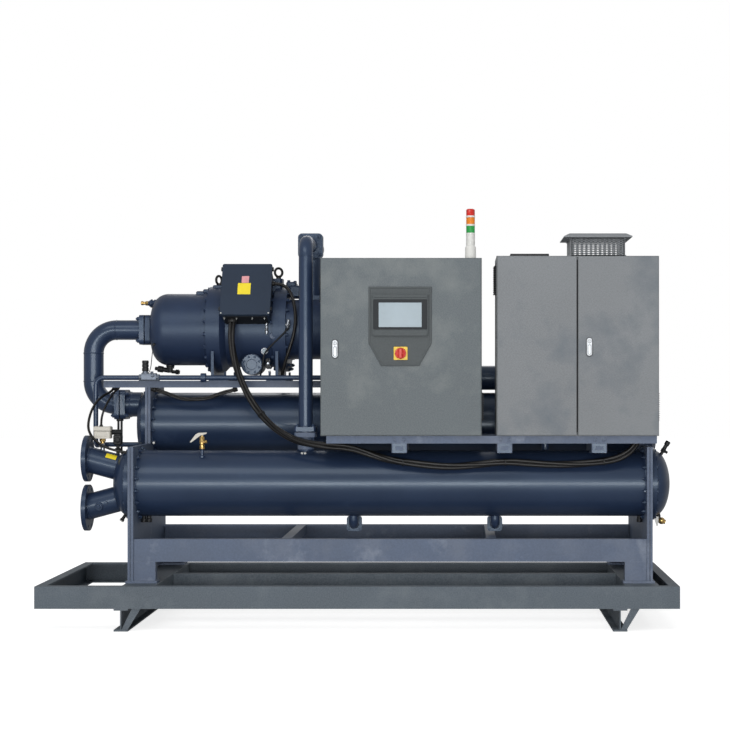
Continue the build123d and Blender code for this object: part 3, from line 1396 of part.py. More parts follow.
# Ventilation hood on the starter cabinet: an open duct from front to back under a cap
hood_middle_z = STARTER_TOP + HOOD_HEIGHT / 2
with BuildPart() as vent_hood:
    with BuildSketch(Plane.XZ.offset(-(HOOD_Y + HOOD_DEPTH / 2))):
        with Locations((HOOD_X, hood_middle_z)):
            Rectangle(HOOD_WIDTH, HOOD_HEIGHT)
            Rectangle(HOOD_WIDTH - 2 * HOOD_WALL, HOOD_HEIGHT - 2 * HOOD_WALL, mode=Mode.SUBTRACT)
    extrude(amount=HOOD_DEPTH)
    with BuildSketch(Plane.XY.offset(STARTER_TOP + HOOD_HEIGHT)):
        with Locations((HOOD_X, HOOD_Y)):
            Rectangle(CAP_WIDTH, CAP_DEPTH)
    extrude(amount=CAP_EDGE)
    with BuildSketch(Plane.XY.offset(STARTER_TOP + HOOD_HEIGHT + CAP_EDGE)):
        with Locations((HOOD_X, HOOD_Y)):
            Rectangle(CAP_WIDTH, CAP_DEPTH)
    extrude(amount=CAP_RISE, taper=CAP_TAPER)
vent_hood.part.label = "vent_hood"
export_step(vent_hood.part, "parts/vent_hood.step")

# Flat cover over the starter cabinet's roof fan
with BuildPart() as roof_fan_cover:
    with BuildSketch(Plane.XY.offset(STARTER_TOP)):
        with Locations((FAN_COVER_X, HOOD_Y)):
            RectangleRounded(FAN_COVER_SIZE, FAN_COVER_SIZE, FAN_COVER_CORNER)
    extrude(amount=FAN_COVER_HEIGHT)
roof_fan_cover.part.label = "roof_fan_cover"
export_step(roof_fan_cover.part, "parts/roof_fan_cover.step")

# Signal tower: base, plain section and three lamp sections, each on a narrower neck
tower_top = TOWER_SECTIONS[-1][1]
with BuildPart() as signal_tower:
    with BuildSketch(Plane.XY.offset(CONTROL_TOP)):
        with Locations((TOWER_X, TOWER_Y)):
            Circle(TOWER_BASE_RADIUS)
    extrude(amount=TOWER_BASE_TOP - CONTROL_TOP)
    with BuildSketch(Plane.XY.offset(CONTROL_TOP)):
        with Locations((TOWER_X, TOWER_Y)):
            Circle(TOWER_NECK_RADIUS)
    extrude(amount=TOWER_SECTIONS[-1][0] - CONTROL_TOP)
    for low, high in TOWER_SECTIONS:
        with BuildSketch(Plane.XY.offset(low)):
            with Locations((TOWER_X, TOWER_Y)):
                Circle(TOWER_RADIUS)
        extrude(amount=high - low)
    fillet(signal_tower.edges().group_by(Axis.Z)[-1], radius=TOWER_TOP_FILLET)
signal_tower.part.label = "signal_tower"
export_step(signal_tower.part, "parts/signal_tower.step")

# Flow switch on a threaded stem in the outlet nozzle
nut_bottom = SWITCH_CASE_BOTTOM - SWITCH_NUT_HEIGHT
with BuildPart() as flow_switch:
    with BuildSketch(Plane.XY.offset(SWITCH_CASE_BOTTOM)):
        with Locations((FLOW_SWITCH_X, CONDENSER_Y)):
            RectangleRounded(SWITCH_CASE_LENGTH, SWITCH_CASE_DEPTH, SWITCH_CASE_CORNER)
    extrude(amount=SWITCH_CASE_HEIGHT)
    with BuildSketch(Plane.XY.offset(nut_bottom)):
        with Locations((FLOW_SWITCH_X, CONDENSER_Y)):
            RegularPolygon(SWITCH_NUT_RADIUS, 6)
    extrude(amount=SWITCH_NUT_HEIGHT)
    with BuildSketch(Plane.XY.offset(SWITCH_STEM_BOTTOM)):
        with Locations((FLOW_SWITCH_X, CONDENSER_Y)):
            Circle(SWITCH_STEM_RADIUS)
    extrude(amount=SWITCH_CASE_BOTTOM - SWITCH_STEM_BOTTOM)
    add(condenser_water_outlet.part, mode=Mode.SUBTRACT)
flow_switch.part.label = "flow_switch"
export_step(flow_switch.part, "parts/flow_switch.step")

# Service valves: gauge valve on the condenser, vent and drains on its heads
right_ring_x = RIGHT_PLATE_OUTER + HEAD_RING_LENGTH
left_ring_x = LEFT_PLATE_OUTER - HEAD_RING_LENGTH
vent_plane = Plane(
    origin=(right_ring_x + VENT_OFFSET, CONDENSER_Y, CONDENSER_Z + VESSEL_RADIUS - VENT_SINK),
    z_dir=VENT_AXIS,
)
gauge_stem_z = CONDENSER_Z + VESSEL_RADIUS - GAUGE_STEM_SINK
drain_bottom = CONDENSER_Z - VESSEL_RADIUS - DRAIN_DROP
with BuildPart() as service_valves:
    with BuildSketch(Plane.XY.offset(gauge_stem_z)):
        with Locations((GAUGE_VALVE_X, GAUGE_VALVE_Y)):
            Circle(GAUGE_STEM_RADIUS)
    extrude(amount=GAUGE_STEM_HEIGHT)
    with BuildSketch(Plane.XY.offset(CONDENSER_Z + VESSEL_RADIUS)):
        with Locations((GAUGE_VALVE_X, GAUGE_VALVE_Y)):
            RegularPolygon(GAUGE_BODY_RADIUS, 6)
    extrude(amount=GAUGE_BODY_HEIGHT)
    with BuildSketch(vent_plane):
        Circle(VENT_RADIUS)
    extrude(amount=VENT_LENGTH)
    with BuildSketch(Plane.XY.offset(drain_bottom)):
        with Locations((right_ring_x + DRAIN_OFFSET, CONDENSER_Y)):
            Circle(DRAIN_RADIUS)
    extrude(amount=DRAIN_LENGTH)
    with BuildSketch(Plane.XY.offset(drain_bottom)):
        with Locations((left_ring_x - LEFT_DRAIN_OFFSET, CONDENSER_Y)):
            Circle(LEFT_DRAIN_RADIUS)
    extrude(amount=LEFT_DRAIN_LENGTH)
    add(condenser_shell.part, mode=Mode.SUBTRACT)
    add(condenser_left_head.part, mode=Mode.SUBTRACT)
    add(condenser_right_head.part, mode=Mode.SUBTRACT)
service_valves.part.label = "service_valves"
export_step(service_valves.part, "parts/service_valves.step")

# Glands and clips where the cables and the hose end, cut to what they are seated on
cord_ends = (
    (MOTOR_CABLE_ROUTE[0], MOTOR_CABLE_ROUTE[1], 28, 38),
    (MOTOR_CABLE_ROUTE[-1], MOTOR_CABLE_ROUTE[-2], 28, 24),
    (FLOW_SWITCH_CABLE_ROUTE[0], FLOW_SWITCH_CABLE_ROUTE[1], 10, 20),
    (FLOW_SWITCH_CABLE_ROUTE[-1], FLOW_SWITCH_CABLE_ROUTE[-2], 10, 16),
    (SENSOR_CABLE_ROUTE[0], SENSOR_CABLE_ROUTE[1], 10, 26),
    (SENSOR_CABLE_ROUTE[-1], SENSOR_CABLE_ROUTE[-2], 12, 16),
    (RAIL_CABLE_ROUTE[0], RAIL_CABLE_ROUTE[1], 16, 24),
    (RAIL_CABLE_ROUTE[-1], RAIL_CABLE_ROUTE[-2], 16, 24),
    (OIL_HOSE_ROUTE[0], OIL_HOSE_ROUTE[1], 14, 26),
    (OIL_HOSE_ROUTE[-1], OIL_HOSE_ROUTE[-2], 13, 26),
)
gland_seats = (
    terminal_box,
    starter_cabinet_body,
    compressor_rails,
    compressor_feet,
    flow_switch,
    condenser_left_head,
)
with BuildPart() as cable_glands:
    for end, neighbour, radius, length in cord_ends:
        add(cord_gland(end, neighbour, radius, length))
    for seat in gland_seats:
        add(seat.part, mode=Mode.SUBTRACT)
cable_glands.part.label = "cable_glands"
export_step(cable_glands.part, "parts/cable_glands.step")

# Motor cable: a bundle from the terminal box, under the control cabinet, to the starter cabinet
with BuildPart() as motor_cable:
    add(cord_tube("motor_cable", MOTOR_CABLE_ROUTE, MOTOR_CABLE_RADIUS))
motor_cable.part.label = "motor_cable"
export_step(motor_cable.part, "parts/motor_cable.step")

# Flow switch cable: from the front compressor rail to the switch's case
with BuildPart() as flow_switch_cable:
    add(cord_tube("flow_switch_cable", FLOW_SWITCH_CABLE_ROUTE, FLOW_SWITCH_CABLE_RADIUS))
flow_switch_cable.part.label = "flow_switch_cable"
export_step(flow_switch_cable.part, "parts/flow_switch_cable.step")

# Sensor cable: a wide loop from the rail to a probe in the condenser's left head
with BuildPart() as sensor_cable:
    add(cord_tube("sensor_cable", SENSOR_CABLE_ROUTE, SENSOR_CABLE_RADIUS))
sensor_cable.part.label = "sensor_cable"
export_step(sensor_cable.part, "parts/sensor_cable.step")

# Rail cable: a bundle that sags between two clips under the front compressor rail
with BuildPart() as rail_cable:
    add(cord_tube("rail_cable", RAIL_CABLE_ROUTE, RAIL_CABLE_RADIUS))
rail_cable.part.label = "rail_cable"
export_step(rail_cable.part, "parts/rail_cable.step")

# Oil hose: from the terminal box's side down the casing's front to the compressor's foot
with BuildPart() as oil_hose:
    add(cord_tube("oil_hose", OIL_HOSE_ROUTE, OIL_HOSE_RADIUS))
oil_hose.part.label = "oil_hose"
export_step(oil_hose.part, "parts/oil_hose.step")
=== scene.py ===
import math
import random

import bmesh
import bpy
from mathutils import Matrix, Vector


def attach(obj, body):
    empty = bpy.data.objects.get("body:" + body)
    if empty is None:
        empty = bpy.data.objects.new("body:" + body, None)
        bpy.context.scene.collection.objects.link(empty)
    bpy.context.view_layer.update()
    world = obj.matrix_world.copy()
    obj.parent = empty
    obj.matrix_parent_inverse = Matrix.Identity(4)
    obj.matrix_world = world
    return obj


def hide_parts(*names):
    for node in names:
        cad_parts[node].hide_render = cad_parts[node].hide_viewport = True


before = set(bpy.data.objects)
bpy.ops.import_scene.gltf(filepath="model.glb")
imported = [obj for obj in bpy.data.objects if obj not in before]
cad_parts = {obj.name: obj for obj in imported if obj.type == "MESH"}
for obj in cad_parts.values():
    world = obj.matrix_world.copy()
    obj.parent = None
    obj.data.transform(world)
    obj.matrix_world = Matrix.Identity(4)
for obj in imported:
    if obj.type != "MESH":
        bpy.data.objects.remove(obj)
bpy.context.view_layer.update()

MM = 0.001
SHARP_ANGLE = math.radians(38)
X_AXIS = Vector((1, 0, 0))
Y_AXIS = Vector((0, 1, 0))
Z_AXIS = Vector((0, 0, 1))
FRONT = Vector((0, -1, 0))
dice = random.Random(7)

# Camera: level, in front of the machine, its axis right of the picture's middle
camera_data = bpy.data.cameras.new("camera")
camera_data.sensor_width = 36
camera_data.lens = 82.5
camera_data.shift_x = -0.1288
camera_data.shift_y = 0.026
camera = bpy.data.objects.new("camera", camera_data)
camera.location = (0.530, -9.300, 1.288)
camera.rotation_euler = (math.radians(90), 0, 0)
bpy.context.scene.collection.objects.link(camera)
bpy.context.scene.camera = camera


# Materials
def node(tree, kind, inputs=None, **settings):
    """New shader node; its inputs are values or sockets to link."""
    made = tree.nodes.new(kind)
    for key, value in settings.items():
        setattr(made, key, value)
    for key, value in (inputs or {}).items():
        socket = made.inputs[key]
        if isinstance(value, bpy.types.NodeSocket):
            tree.links.new(value, socket)
        else:
            socket.default_value = value
    return made


def linear(colour):
    """Screen colour, 0 to 255, as linear light."""
    made = []
    for part in colour:
        c = part / 255
        made.append(c / 12.92 if c <= 0.04045 else ((c + 0.055) / 1.055) ** 2.4)
    return (*made, 1)


def blend_colour(tree, share, low, high):
    return node(
        tree, "ShaderNodeMix", {0: share, 6: low, 7: high}, data_type="RGBA"
    ).outputs[2]


def noise(tree, place, scale, detail, rough):
    return node(
        tree,
        "ShaderNodeTexNoise",
        {"Vector": place, "Scale": scale, "Detail": detail, "Roughness": rough},
    ).outputs[0]


def span(tree, value, low, high, out_low=0.0, out_high=1.0):
    return node(
        tree,
        "ShaderNodeMapRange",
        {0: value, 1: low, 2: high, 3: out_low, 4: out_high},
    ).outputs[0]


def times(tree, a, b):
    return node(tree, "ShaderNodeMath", {0: a, 1: b}, operation="MULTIPLY").outputs[0]


ROUND_EDGE = 0.002
DRIFT_SPAN = (0.3, 0.7)
SMUDGE_SCALE = 3.4
SCRATCH_SCALE = 38


def surface(
    name,
    colour,
    rough,
    vary,
    broad,
    grain,
    depth,
    edge_wear_and_highlight=None,
    edge_wear_and_highlight_share=0.5,
    worn=None,
    worn_low=0.62,
    worn_high=0.75,
    worn_scale=4.0,
    metallic=0.0,
    rough_span=0.12,
    coat=0.0,
    speck=None,
    shine=0.5,
    marks=None,
    tint=(1, 1, 1),
):
    """Painted, plated or moulded surface: colour drift, fine grain, rounded edges made lighter, partly as
    wear and partly as painted highlight.
    """
    material = bpy.data.materials.new(name)
    material.use_nodes = True
    tree = material.node_tree
    shader = tree.nodes["Principled BSDF"]
    place = node(tree, "ShaderNodeTexCoord").outputs["Object"]
    drift = noise(tree, place, broad, 6, 0.6)
    fine = noise(tree, place, grain, 4, 0.6)
    base = linear(colour)
    low = (*(c * (1 - vary) for c in base[:3]), 1)
    high = (*(c * (1 + vary) for c in base[:3]), 1)
    tone = blend_colour(tree, span(tree, drift, *DRIFT_SPAN), low, high)
    if speck is not None:
        dots = span(tree, fine, 0.42, 0.62)
        tone = blend_colour(tree, times(tree, dots, speck[0]), tone, linear(speck[1]))
    if marks is not None:
        coarse = span(tree, noise(tree, place, marks[0], 3, 0.5), 0.36, 0.64)
        tone = blend_colour(tree, times(tree, coarse, marks[1]), tone, linear(marks[2]))
        smudge = span(tree, noise(tree, place, SMUDGE_SCALE, 5, 0.62), 0.5, 0.72)
        tone = blend_colour(tree, times(tree, smudge, marks[3]), tone, linear(marks[4]))
    roughness = span(tree, drift, *DRIFT_SPAN, rough - rough_span / 2, rough + rough_span / 2)
    if worn is not None:
        cloud = noise(tree, place, worn_scale, 8, 0.65)
        patch = span(tree, cloud, worn_low, worn_high)
        tone = blend_colour(tree, patch, tone, linear(worn))
    edge_normal = node(
        tree, "ShaderNodeBevel", {"Radius": ROUND_EDGE}, samples=4
    ).outputs[0]
    # Lighter edges: partly rubbed paint, partly painted highlight where the rounded edges catch the
    # light.
    if edge_wear_and_highlight is not None:
        flat_normal = node(tree, "ShaderNodeNewGeometry").outputs["Normal"]
        likeness = node(
            tree, "ShaderNodeVectorMath", {0: edge_normal, 1: flat_normal}, operation="DOT_PRODUCT"
        ).outputs["Value"]
        worn_and_lit_edge = span(tree, likeness, 0.995, 0.9)
        scratch = span(
            tree, noise(tree, place, SCRATCH_SCALE, 5, 0.7), 0.62 - edge_wear_and_highlight_share * 0.4, 0.72
        )
        tone = blend_colour(tree, times(tree, worn_and_lit_edge, scratch), tone, linear(edge_wear_and_highlight))
    bump = node(
        tree,
        "ShaderNodeBump",
        {"Height": fine, "Distance": depth, "Strength": 1.0, "Normal": edge_normal},
    ).outputs[0]
    tree.links.new(tone, shader.inputs["Base Color"])
    tree.links.new(roughness, shader.inputs["Roughness"])
    tree.links.new(bump, shader.inputs["Normal"])
    shader.inputs["Metallic"].default_value = metallic
    shader.inputs["Coat Weight"].default_value = coat
    shader.inputs["Specular IOR Level"].default_value = shine
    shader.inputs["Specular Tint"].default_value = (*tint, 1)
    return material


NAVY = (33, 46, 70)
SHEEN = (0.7, 0.86, 1.0)
vessel_paint = surface(
    "vessel_paint", NAVY, 0.34, 0.16, 1.6, 130, 0.00025, (84, 98, 124), 0.45,
    worn=(56, 68, 90), worn_low=0.64, worn_high=0.9, worn_scale=3.2, coat=0.1, tint=SHEEN,
)
compressor_paint = surface(
    "compressor_paint", (33, 45, 70), 0.4, 0.16, 3.0, 170, 0.0006, (76, 90, 116), 0.5,
    worn=(50, 62, 86), worn_low=0.64, worn_high=0.9, worn_scale=6, tint=SHEEN,
)
pipe_paint = surface(
    "pipe_paint", (38, 51, 76), 0.34, 0.12, 4, 150, 0.0002, (84, 98, 124), 0.4, coat=0.1,
    tint=SHEEN,
)
terminal_paint = surface(
    "terminal_paint", (41, 52, 68), 0.55, 0.1, 3, 300, 0.00015, (80, 92, 110), 0.4, shine=0.2,
)
frame_paint = surface(
    "frame_paint", (82, 95, 117), 0.5, 0.14, 2.2, 120, 0.0004, (150, 158, 172), 0.75,
    worn=(132, 140, 154), worn_low=0.58, worn_high=0.8, worn_scale=4.2, shine=0.35,
    marks=(95, 0.25, (60, 68, 84), 0.35, (120, 126, 138)),
)
base_paint = surface(
    "base_paint", (82, 91, 99), 0.6, 0.12, 2.5, 160, 0.0006, (142, 148, 154), 0.6,
    worn=(104, 112, 118), worn_low=0.58, worn_high=0.85, worn_scale=9, speck=(0.3, (60, 67, 74)),
    shine=0.3, marks=(150, 0.4, (108, 117, 126), 0.4, (118, 125, 130)),
)
control_paint = surface(
    "control_paint", (94, 101, 105), 0.6, 0.13, 1.1, 330, 0.0007, (128, 134, 136), 0.3,
    speck=(0.35, (68, 73, 75)), shine=0.3, marks=(190, 0.42, (126, 134, 137), 0.6, (130, 135, 134)),
)
starter_paint = surface(
    "starter_paint", (119, 123, 126), 0.6, 0.13, 1.1, 330, 0.0007, (150, 154, 156), 0.3,
    speck=(0.3, (84, 88, 91)), shine=0.3, marks=(190, 0.4, (152, 155, 159), 0.85, (98, 106, 114)),
)
# Same paint as the starter cabinet, made lighter for the hood: painted light that offsets the shade of
# the hood's cap.
hood_paint_lit = surface(
    "hood_paint_lit", (134, 138, 142), 0.6, 0.1, 1.4, 330, 0.0005, (164, 168, 170), 0.3, shine=0.3,
    marks=(230, 0.4, (156, 159, 162), 0.3, (120, 125, 129)),
)
panel_paint = surface(
    "panel_paint", (78, 83, 85), 0.6, 0.07, 4, 300, 0.0002, (112, 117, 119), 0.3, shine=0.2,
    marks=(130, 0.3, (92, 97, 99), 0.2, (94, 99, 100)),
)
zinc_plate = surface(
    "zinc_plate", (186, 188, 186), 0.42, 0.12, 9, 60, 0.0002, (225, 226, 224), 0.3,
    metallic=0.75,
)
steel = surface(
    "steel", (146, 150, 156), 0.36, 0.1, 14, 260, 0.0001, (220, 222, 226), 0.3, metallic=0.95,
)
valve_steel = surface(
    "valve_steel", (104, 112, 124), 0.42, 0.14, 30, 260, 0.0002, (190, 196, 204), 0.5, metallic=0.6,
)
brass = surface(
    "brass", (196, 164, 104), 0.28, 0.12, 16, 220, 0.0001, (236, 204, 140), 0.3, metallic=0.95,
)
copper = surface(
    "copper", (170, 104, 74), 0.34, 0.16, 10, 200, 0.0001, metallic=0.95,
)
grey_plastic = surface(
    "grey_plastic", (196, 192, 182), 0.5, 0.05, 12, 500, 0.0001, (220, 216, 208), 0.2,
)
dark_plastic = surface(
    "dark_plastic", (26, 28, 31), 0.5, 0.1, 12, 420, 0.00015, (60, 62, 66), 0.3, shine=0.35,
)
rubber = surface(
    "rubber", (18, 18, 19), 0.5, 0.2, 8, 500, 0.0002, (60, 58, 58), 0.3, rough_span=0.2,
)
cable_black = surface(
    "cable_black", (17, 16, 16), 0.38, 0.2, 9, 700, 0.0002, (60, 55, 50), 0.3, rough_span=0.16, shine=0.4,
)
yellow_film = surface("yellow_film", (236, 214, 30), 0.4, 0.05, 22, 300, 0.00005, (246, 232, 110), 0.2)
red_film = surface("red_film", (216, 150, 154), 0.5, 0.1, 20, 300, 0.00005, (240, 200, 200), 0.2)
yellow_plate = surface("yellow_plate", (226, 190, 42), 0.4, 0.06, 20, 300, 0.0001, (240, 220, 120), 0.3)
knob_red = surface("knob_red", (196, 46, 34), 0.36, 0.07, 30, 320, 0.0001, (230, 120, 100), 0.3)
screen_glass = surface(
    "screen_glass", (158, 172, 180), 0.3, 0.06, 9, 400, 0.00001, rough_span=0.08, shine=0.2,
)
screen_band = surface(
    "screen_band", (44, 47, 50), 0.5, 0.08, 12, 400, 0.00003, (70, 73, 76), 0.3, shine=0.15,
)
lock_metal = surface(
    "lock_metal", (188, 192, 196), 0.34, 0.08, 20, 300, 0.00008, (220, 222, 224), 0.3,
    metallic=0.3, shine=0.3,
)
white_plastic = surface(
    "white_plastic", (218, 218, 214), 0.42, 0.04, 14, 400, 0.0001, (236, 236, 232), 0.2,
)
gasket_black = surface("gasket_black", (20, 21, 23), 0.7, 0.15, 18, 300, 0.0002)


def lamp_plastic(name, colour):
    """Clear coloured lens: light passes some way into it."""
    material = surface(name, colour, 0.25, 0.05, 20, 300, 0.00005, rough_span=0.06)
    shader = material.node_tree.nodes["Principled BSDF"]
    shader.inputs["Transmission Weight"].default_value = 0.25
    shader.inputs["IOR"].default_value = 1.45
    shader.inputs["Coat Weight"].default_value = 0.3
    return material


lamp_red = lamp_plastic("lamp_red", (222, 44, 32))
lamp_orange = lamp_plastic("lamp_orange", (246, 142, 22))
lamp_green = lamp_plastic("lamp_green", (32, 168, 74))


# Mesh building, in millimetres
def frame_of(axis):
    """Two directions across an axis, and the axis itself."""
    w = Vector(axis).normalized()
    up = Z_AXIS if abs(w.z) < 0.9 else X_AXIS
    u = up.cross(w).normalized()
    return u, w.cross(u), w


def circle(middle, u, v, radius, sides, spin=0.0):
    """Points round a middle, in the plane of two directions."""
    made = []
    for i in range(sides):
        angle = spin + 2 * math.pi * i / sides
        made.append(middle + (u * math.cos(angle) + v * math.sin(angle)) * radius)
    return made


def fluted_ring(centre, z, radius, depth, count):
    """Level ring whose points stand out and in by turns."""
    made = []
    for k in range(count):
        angle = 2 * math.pi * k / count
        reach = radius - depth * (k % 2)
        made.append(
            Vector((centre[0] + math.cos(angle) * reach, centre[1] + math.sin(angle) * reach, z))
        )
    return made


def capped(*profile):
    """Profile closed flat at both ends."""
    return [(profile[0][0], 0), *profile, (profile[-1][0], 0)]


def rod(start, stop, radius, chamfer=0):
    """Profile of a plain turned length, with a chamfer at its far end."""
    if chamfer == 0:
        return capped((start, radius), (stop, radius))
    return capped((start, radius), (stop - chamfer, radius), (stop, radius - chamfer))


def inset(outline, amount):
    """Outline moved inwards by an amount; it runs anticlockwise."""
    made = []
    count = len(outline)
    for i in range(count):
        before = Vector(outline[i - 1])
        here = Vector(outline[i])
        after = Vector(outline[(i + 1) % count])
        first = (here - before).normalized()
        second = (after - here).normalized()
        normal_one = Vector((-first.y, first.x))
        normal_two = Vector((-second.y, second.x))
        middle = normal_one + normal_two
        made.append(here + middle * (amount / max(0.2, middle.dot(normal_one))))
    return made


def rounded(width, height, radius, steps=5):
    """Rounded rectangle around the middle, anticlockwise."""
    made = []
    for cx, cy, start in ((1, 1, 0), (-1, 1, 90), (-1, -1, 180), (1, -1, 270)):
        for k in range(steps + 1):
            angle = math.radians(start + 90 * k / steps)
            made.append(
                (
                    cx * (width / 2 - radius) + radius * math.cos(angle),
                    cy * (height / 2 - radius) + radius * math.sin(angle),
                )
            )
    return made


class Shape:
    """Parts of one piece, collected as vertices and faces."""

    def __init__(self):
        self.verts = []
        self.faces = []

    def rings(self, rings, close=True):
        """Skin through rings of the same count; a ring of one point closes an end."""
        starts = []
        for ring in rings:
            starts.append((len(self.verts), len(ring)))
            self.verts.extend(ring)
        for (a, count_a), (b, count_b) in zip(starts, starts[1:]):
            count = max(count_a, count_b)
            for i in range(count if close else count - 1):
                j = (i + 1) % count
                if count_a == 1:
                    self.faces.append((a, b + i, b + j))
                elif count_b == 1:
                    self.faces.append((a + i, b, a + j))
                else:
                    self.faces.append((a + i, b + i, b + j, a + j))
        return self

    def lathe(self, profile, at, axis, sides, spin=0.0):
        """Turned part: profile points are (distance along the axis, radius)."""
        u, v, w = frame_of(axis)
        at = Vector(at)
        rings = []
        for along, radius in profile:
            if radius <= 0:
                rings.append([at + w * along])
            else:
                rings.append(circle(at + w * along, u, v, radius, sides, spin))
        return self.rings(rings)

    def turned(self, at, axis, *rows):
        """Turned parts on one axis, each given by its sides and its profile."""
        for sides, profile in rows:
            self.lathe(profile, at, axis, sides)
        return self

    def block(self, centre, size, bevel, turn=None):
        """Box with chamfered edges."""
        turn = turn or Matrix.Identity(3)
        half = [s / 2 for s in size]
        bevel = min(bevel, min(half) * 0.45)
        start = len(self.verts)
        index = {}
        for sx in (-1, 1):
            for sy in (-1, 1):
                for sz in (-1, 1):
                    signs = (sx, sy, sz)
                    for a in range(3):
                        place = [
                            signs[i] * (half[i] if i == a else half[i] - bevel) for i in range(3)
                        ]
                        index[(signs, a)] = start + len(index)
                        self.verts.append(Vector(centre) + turn @ Vector(place))
        for a in range(3):
            b, c = (a + 1) % 3, (a + 2) % 3
            for s in (-1, 1):
                loop = []
                for sb, sc in ((-1, -1), (1, -1), (1, 1), (-1, 1)):
                    signs = [0, 0, 0]
                    signs[a], signs[b], signs[c] = s, sb, sc
                    loop.append(index[(tuple(signs), a)])
                self.faces.append(tuple(loop))
            for sa in (-1, 1):
                for sb in (-1, 1):
                    ends = []
                    for sc in (-1, 1):
                        signs = [0, 0, 0]
                        signs[a], signs[b], signs[c] = sa, sb, sc
                        ends.append(tuple(signs))
                    first, last = ends
                    self.faces.append(
                        (index[(first, a)], index[(last, a)], index[(last, b)], index[(first, b)])
                    )
        for sx in (-1, 1):
            for sy in (-1, 1):
                for sz in (-1, 1):
                    self.faces.append(tuple(index[((sx, sy, sz), a)] for a in range(3)))
        return self

    def plate(self, outline, at, x_dir, y_dir, depth, bevel=1.0):
        """Flat plate: an outline in a plane, raised towards x_dir cross y_dir, its rim chamfered."""
        x_dir, y_dir = Vector(x_dir).normalized(), Vector(y_dir).normalized()
        up = x_dir.cross(y_dir)
        at = Vector(at)

        def ring(points, lift):
            return [at + x_dir * p[0] + y_dir * p[1] + up * lift for p in points]

        inner = inset(outline, bevel)
        start = len(self.verts)
        self.rings([ring(outline, 0), ring(outline, depth - bevel), ring(inner, depth)])
        count = len(outline)
        self.faces.append(tuple(range(start + 2 * count, start + 3 * count)))
        self.faces.append(tuple(reversed(range(start, start + count))))
        return self

    def tube(self, points, radius, sides=12):
        """Round tube along points; the radius may differ from point to point."""
        points = [Vector(p) for p in points]
        radii = radius if isinstance(radius, (list, tuple)) else [radius] * len(points)
        u = None
        rings = []
        for i, p in enumerate(points):
            ahead = points[min(i + 1, len(points) - 1)] - points[max(i - 1, 0)]
            w = ahead.normalized()
            u = frame_of(w)[0] if u is None else (u - w * u.dot(w)).normalized()
            rings.append(circle(p, u, w.cross(u), radii[i], sides))
        return self.rings([[points[0]], *rings, [points[-1]]])

    def bead(self, at, axis, radius, bead, sides=48):
        """Weld bead round a pipe, a little uneven."""
        u, v, w = frame_of(axis)
        at = Vector(at)
        rings = []
        wobble = [dice.uniform(0.75, 1.2) for _ in range(sides)]
        for k in range(7):
            angle = math.pi * k / 6
            ring = []
            for i in range(sides):
                turn = 2 * math.pi * i / sides
                height = radius - 0.6 + math.sin(angle) * bead * 0.7 * wobble[i]
                out = u * math.cos(turn) + v * math.sin(turn)
                ring.append(at - w * (math.cos(angle) * bead) + out * height)
            rings.append(ring)
        return self.rings(rings)

    def bolt(self, at, axis, size, height, stud=0, washer=True):
        """Hexagon head on a washer; a stud stands out of a nut."""
        base = 0.0
        if washer:
            rim = size * 1.3
            self.lathe(capped((-1, rim), (1.6, rim), (2.2, rim - 0.6)), at, axis, 20)
            base = 2.2
        top = base + height
        self.lathe(
            capped((base - 1, size), (top - size * 0.16, size), (top, size * 0.86)),
            at, axis, 6, dice.uniform(0, 1.0),
        )
        if stud > 0:
            core = size * 0.52
            self.lathe(
                capped((top - 1, core), (top + stud - 1, core), (top + stud, core * 0.8)),
                at, axis, 12,
            )
        return self

    def piece(self, name, material, body="chiller", slot=None, replaces=()):
        """Object of the collected parts, smooth but for its sharp edges, riding on a body."""
        mesh = bpy.data.meshes.new(name)
        mesh.from_pydata([tuple(v * MM for v in p) for p in self.verts], [], self.faces)
        work = bmesh.new()
        work.from_mesh(mesh)
        bmesh.ops.recalc_face_normals(work, faces=work.faces)
        work.to_mesh(mesh)
        work.free()
        mesh.polygons.foreach_set("use_smooth", [True] * len(mesh.polygons))
        mesh.set_sharp_from_angle(angle=SHARP_ANGLE)
        made = bpy.data.objects.new(name, mesh)
        bpy.context.scene.collection.objects.link(made)
        mesh.materials.append(material)
        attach(made, body)
        if replaces:
            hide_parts(*replaces)
        return made


def circle_spots(count, radius, start):
    """Points spaced evenly round a circle, from a start in degrees."""
    made = []
    for k in range(count):
        angle = math.radians(start + 360 * k / count)
        made.append((radius * math.cos(angle), radius * math.sin(angle)))
    return made


# Cords
def route_spline(name, route, radius):
    """Smooth curve whose control points are the route's points, in metres."""
    data = bpy.data.curves.new(name, "CURVE")
    data.dimensions = "3D"
    data.resolution_u = 16
    spline = data.splines.new("NURBS")
    spline.points.add(len(route) - 1)
    for point, place in zip(spline.points, route):
        point.co = (*place, 1)
    spline.order_u = 3
    spline.use_endpoint_u = True
    data.bevel_depth = radius
    data.bevel_resolution = 5
    data.use_fill_caps = True
    made = bpy.data.objects.new(name, data)
    bpy.context.scene.collection.objects.link(made)
    return made


def spline_points(route):
    """Points along a route's own smooth curve, in metres."""
    guide = route_spline("guide", route, 0)
    guide.data.use_fill_caps = False
    line = bpy.data.meshes.new_from_object(guide)
    points = [v.co.copy() for v in line.vertices]
    bpy.data.objects.remove(guide)
    bpy.data.meshes.remove(line)
    return points


def even_points(points, step):
    """Points a step apart along a line."""
    made = [points[0].copy()]
    left = step
    for a, b in zip(points, points[1:]):
        run = (b - a).length
        at = left
        while at <= run:
            made.append(a.lerp(b, at / run))
            at += step
        left = at - run
    made.append(points[-1].copy())
    return made


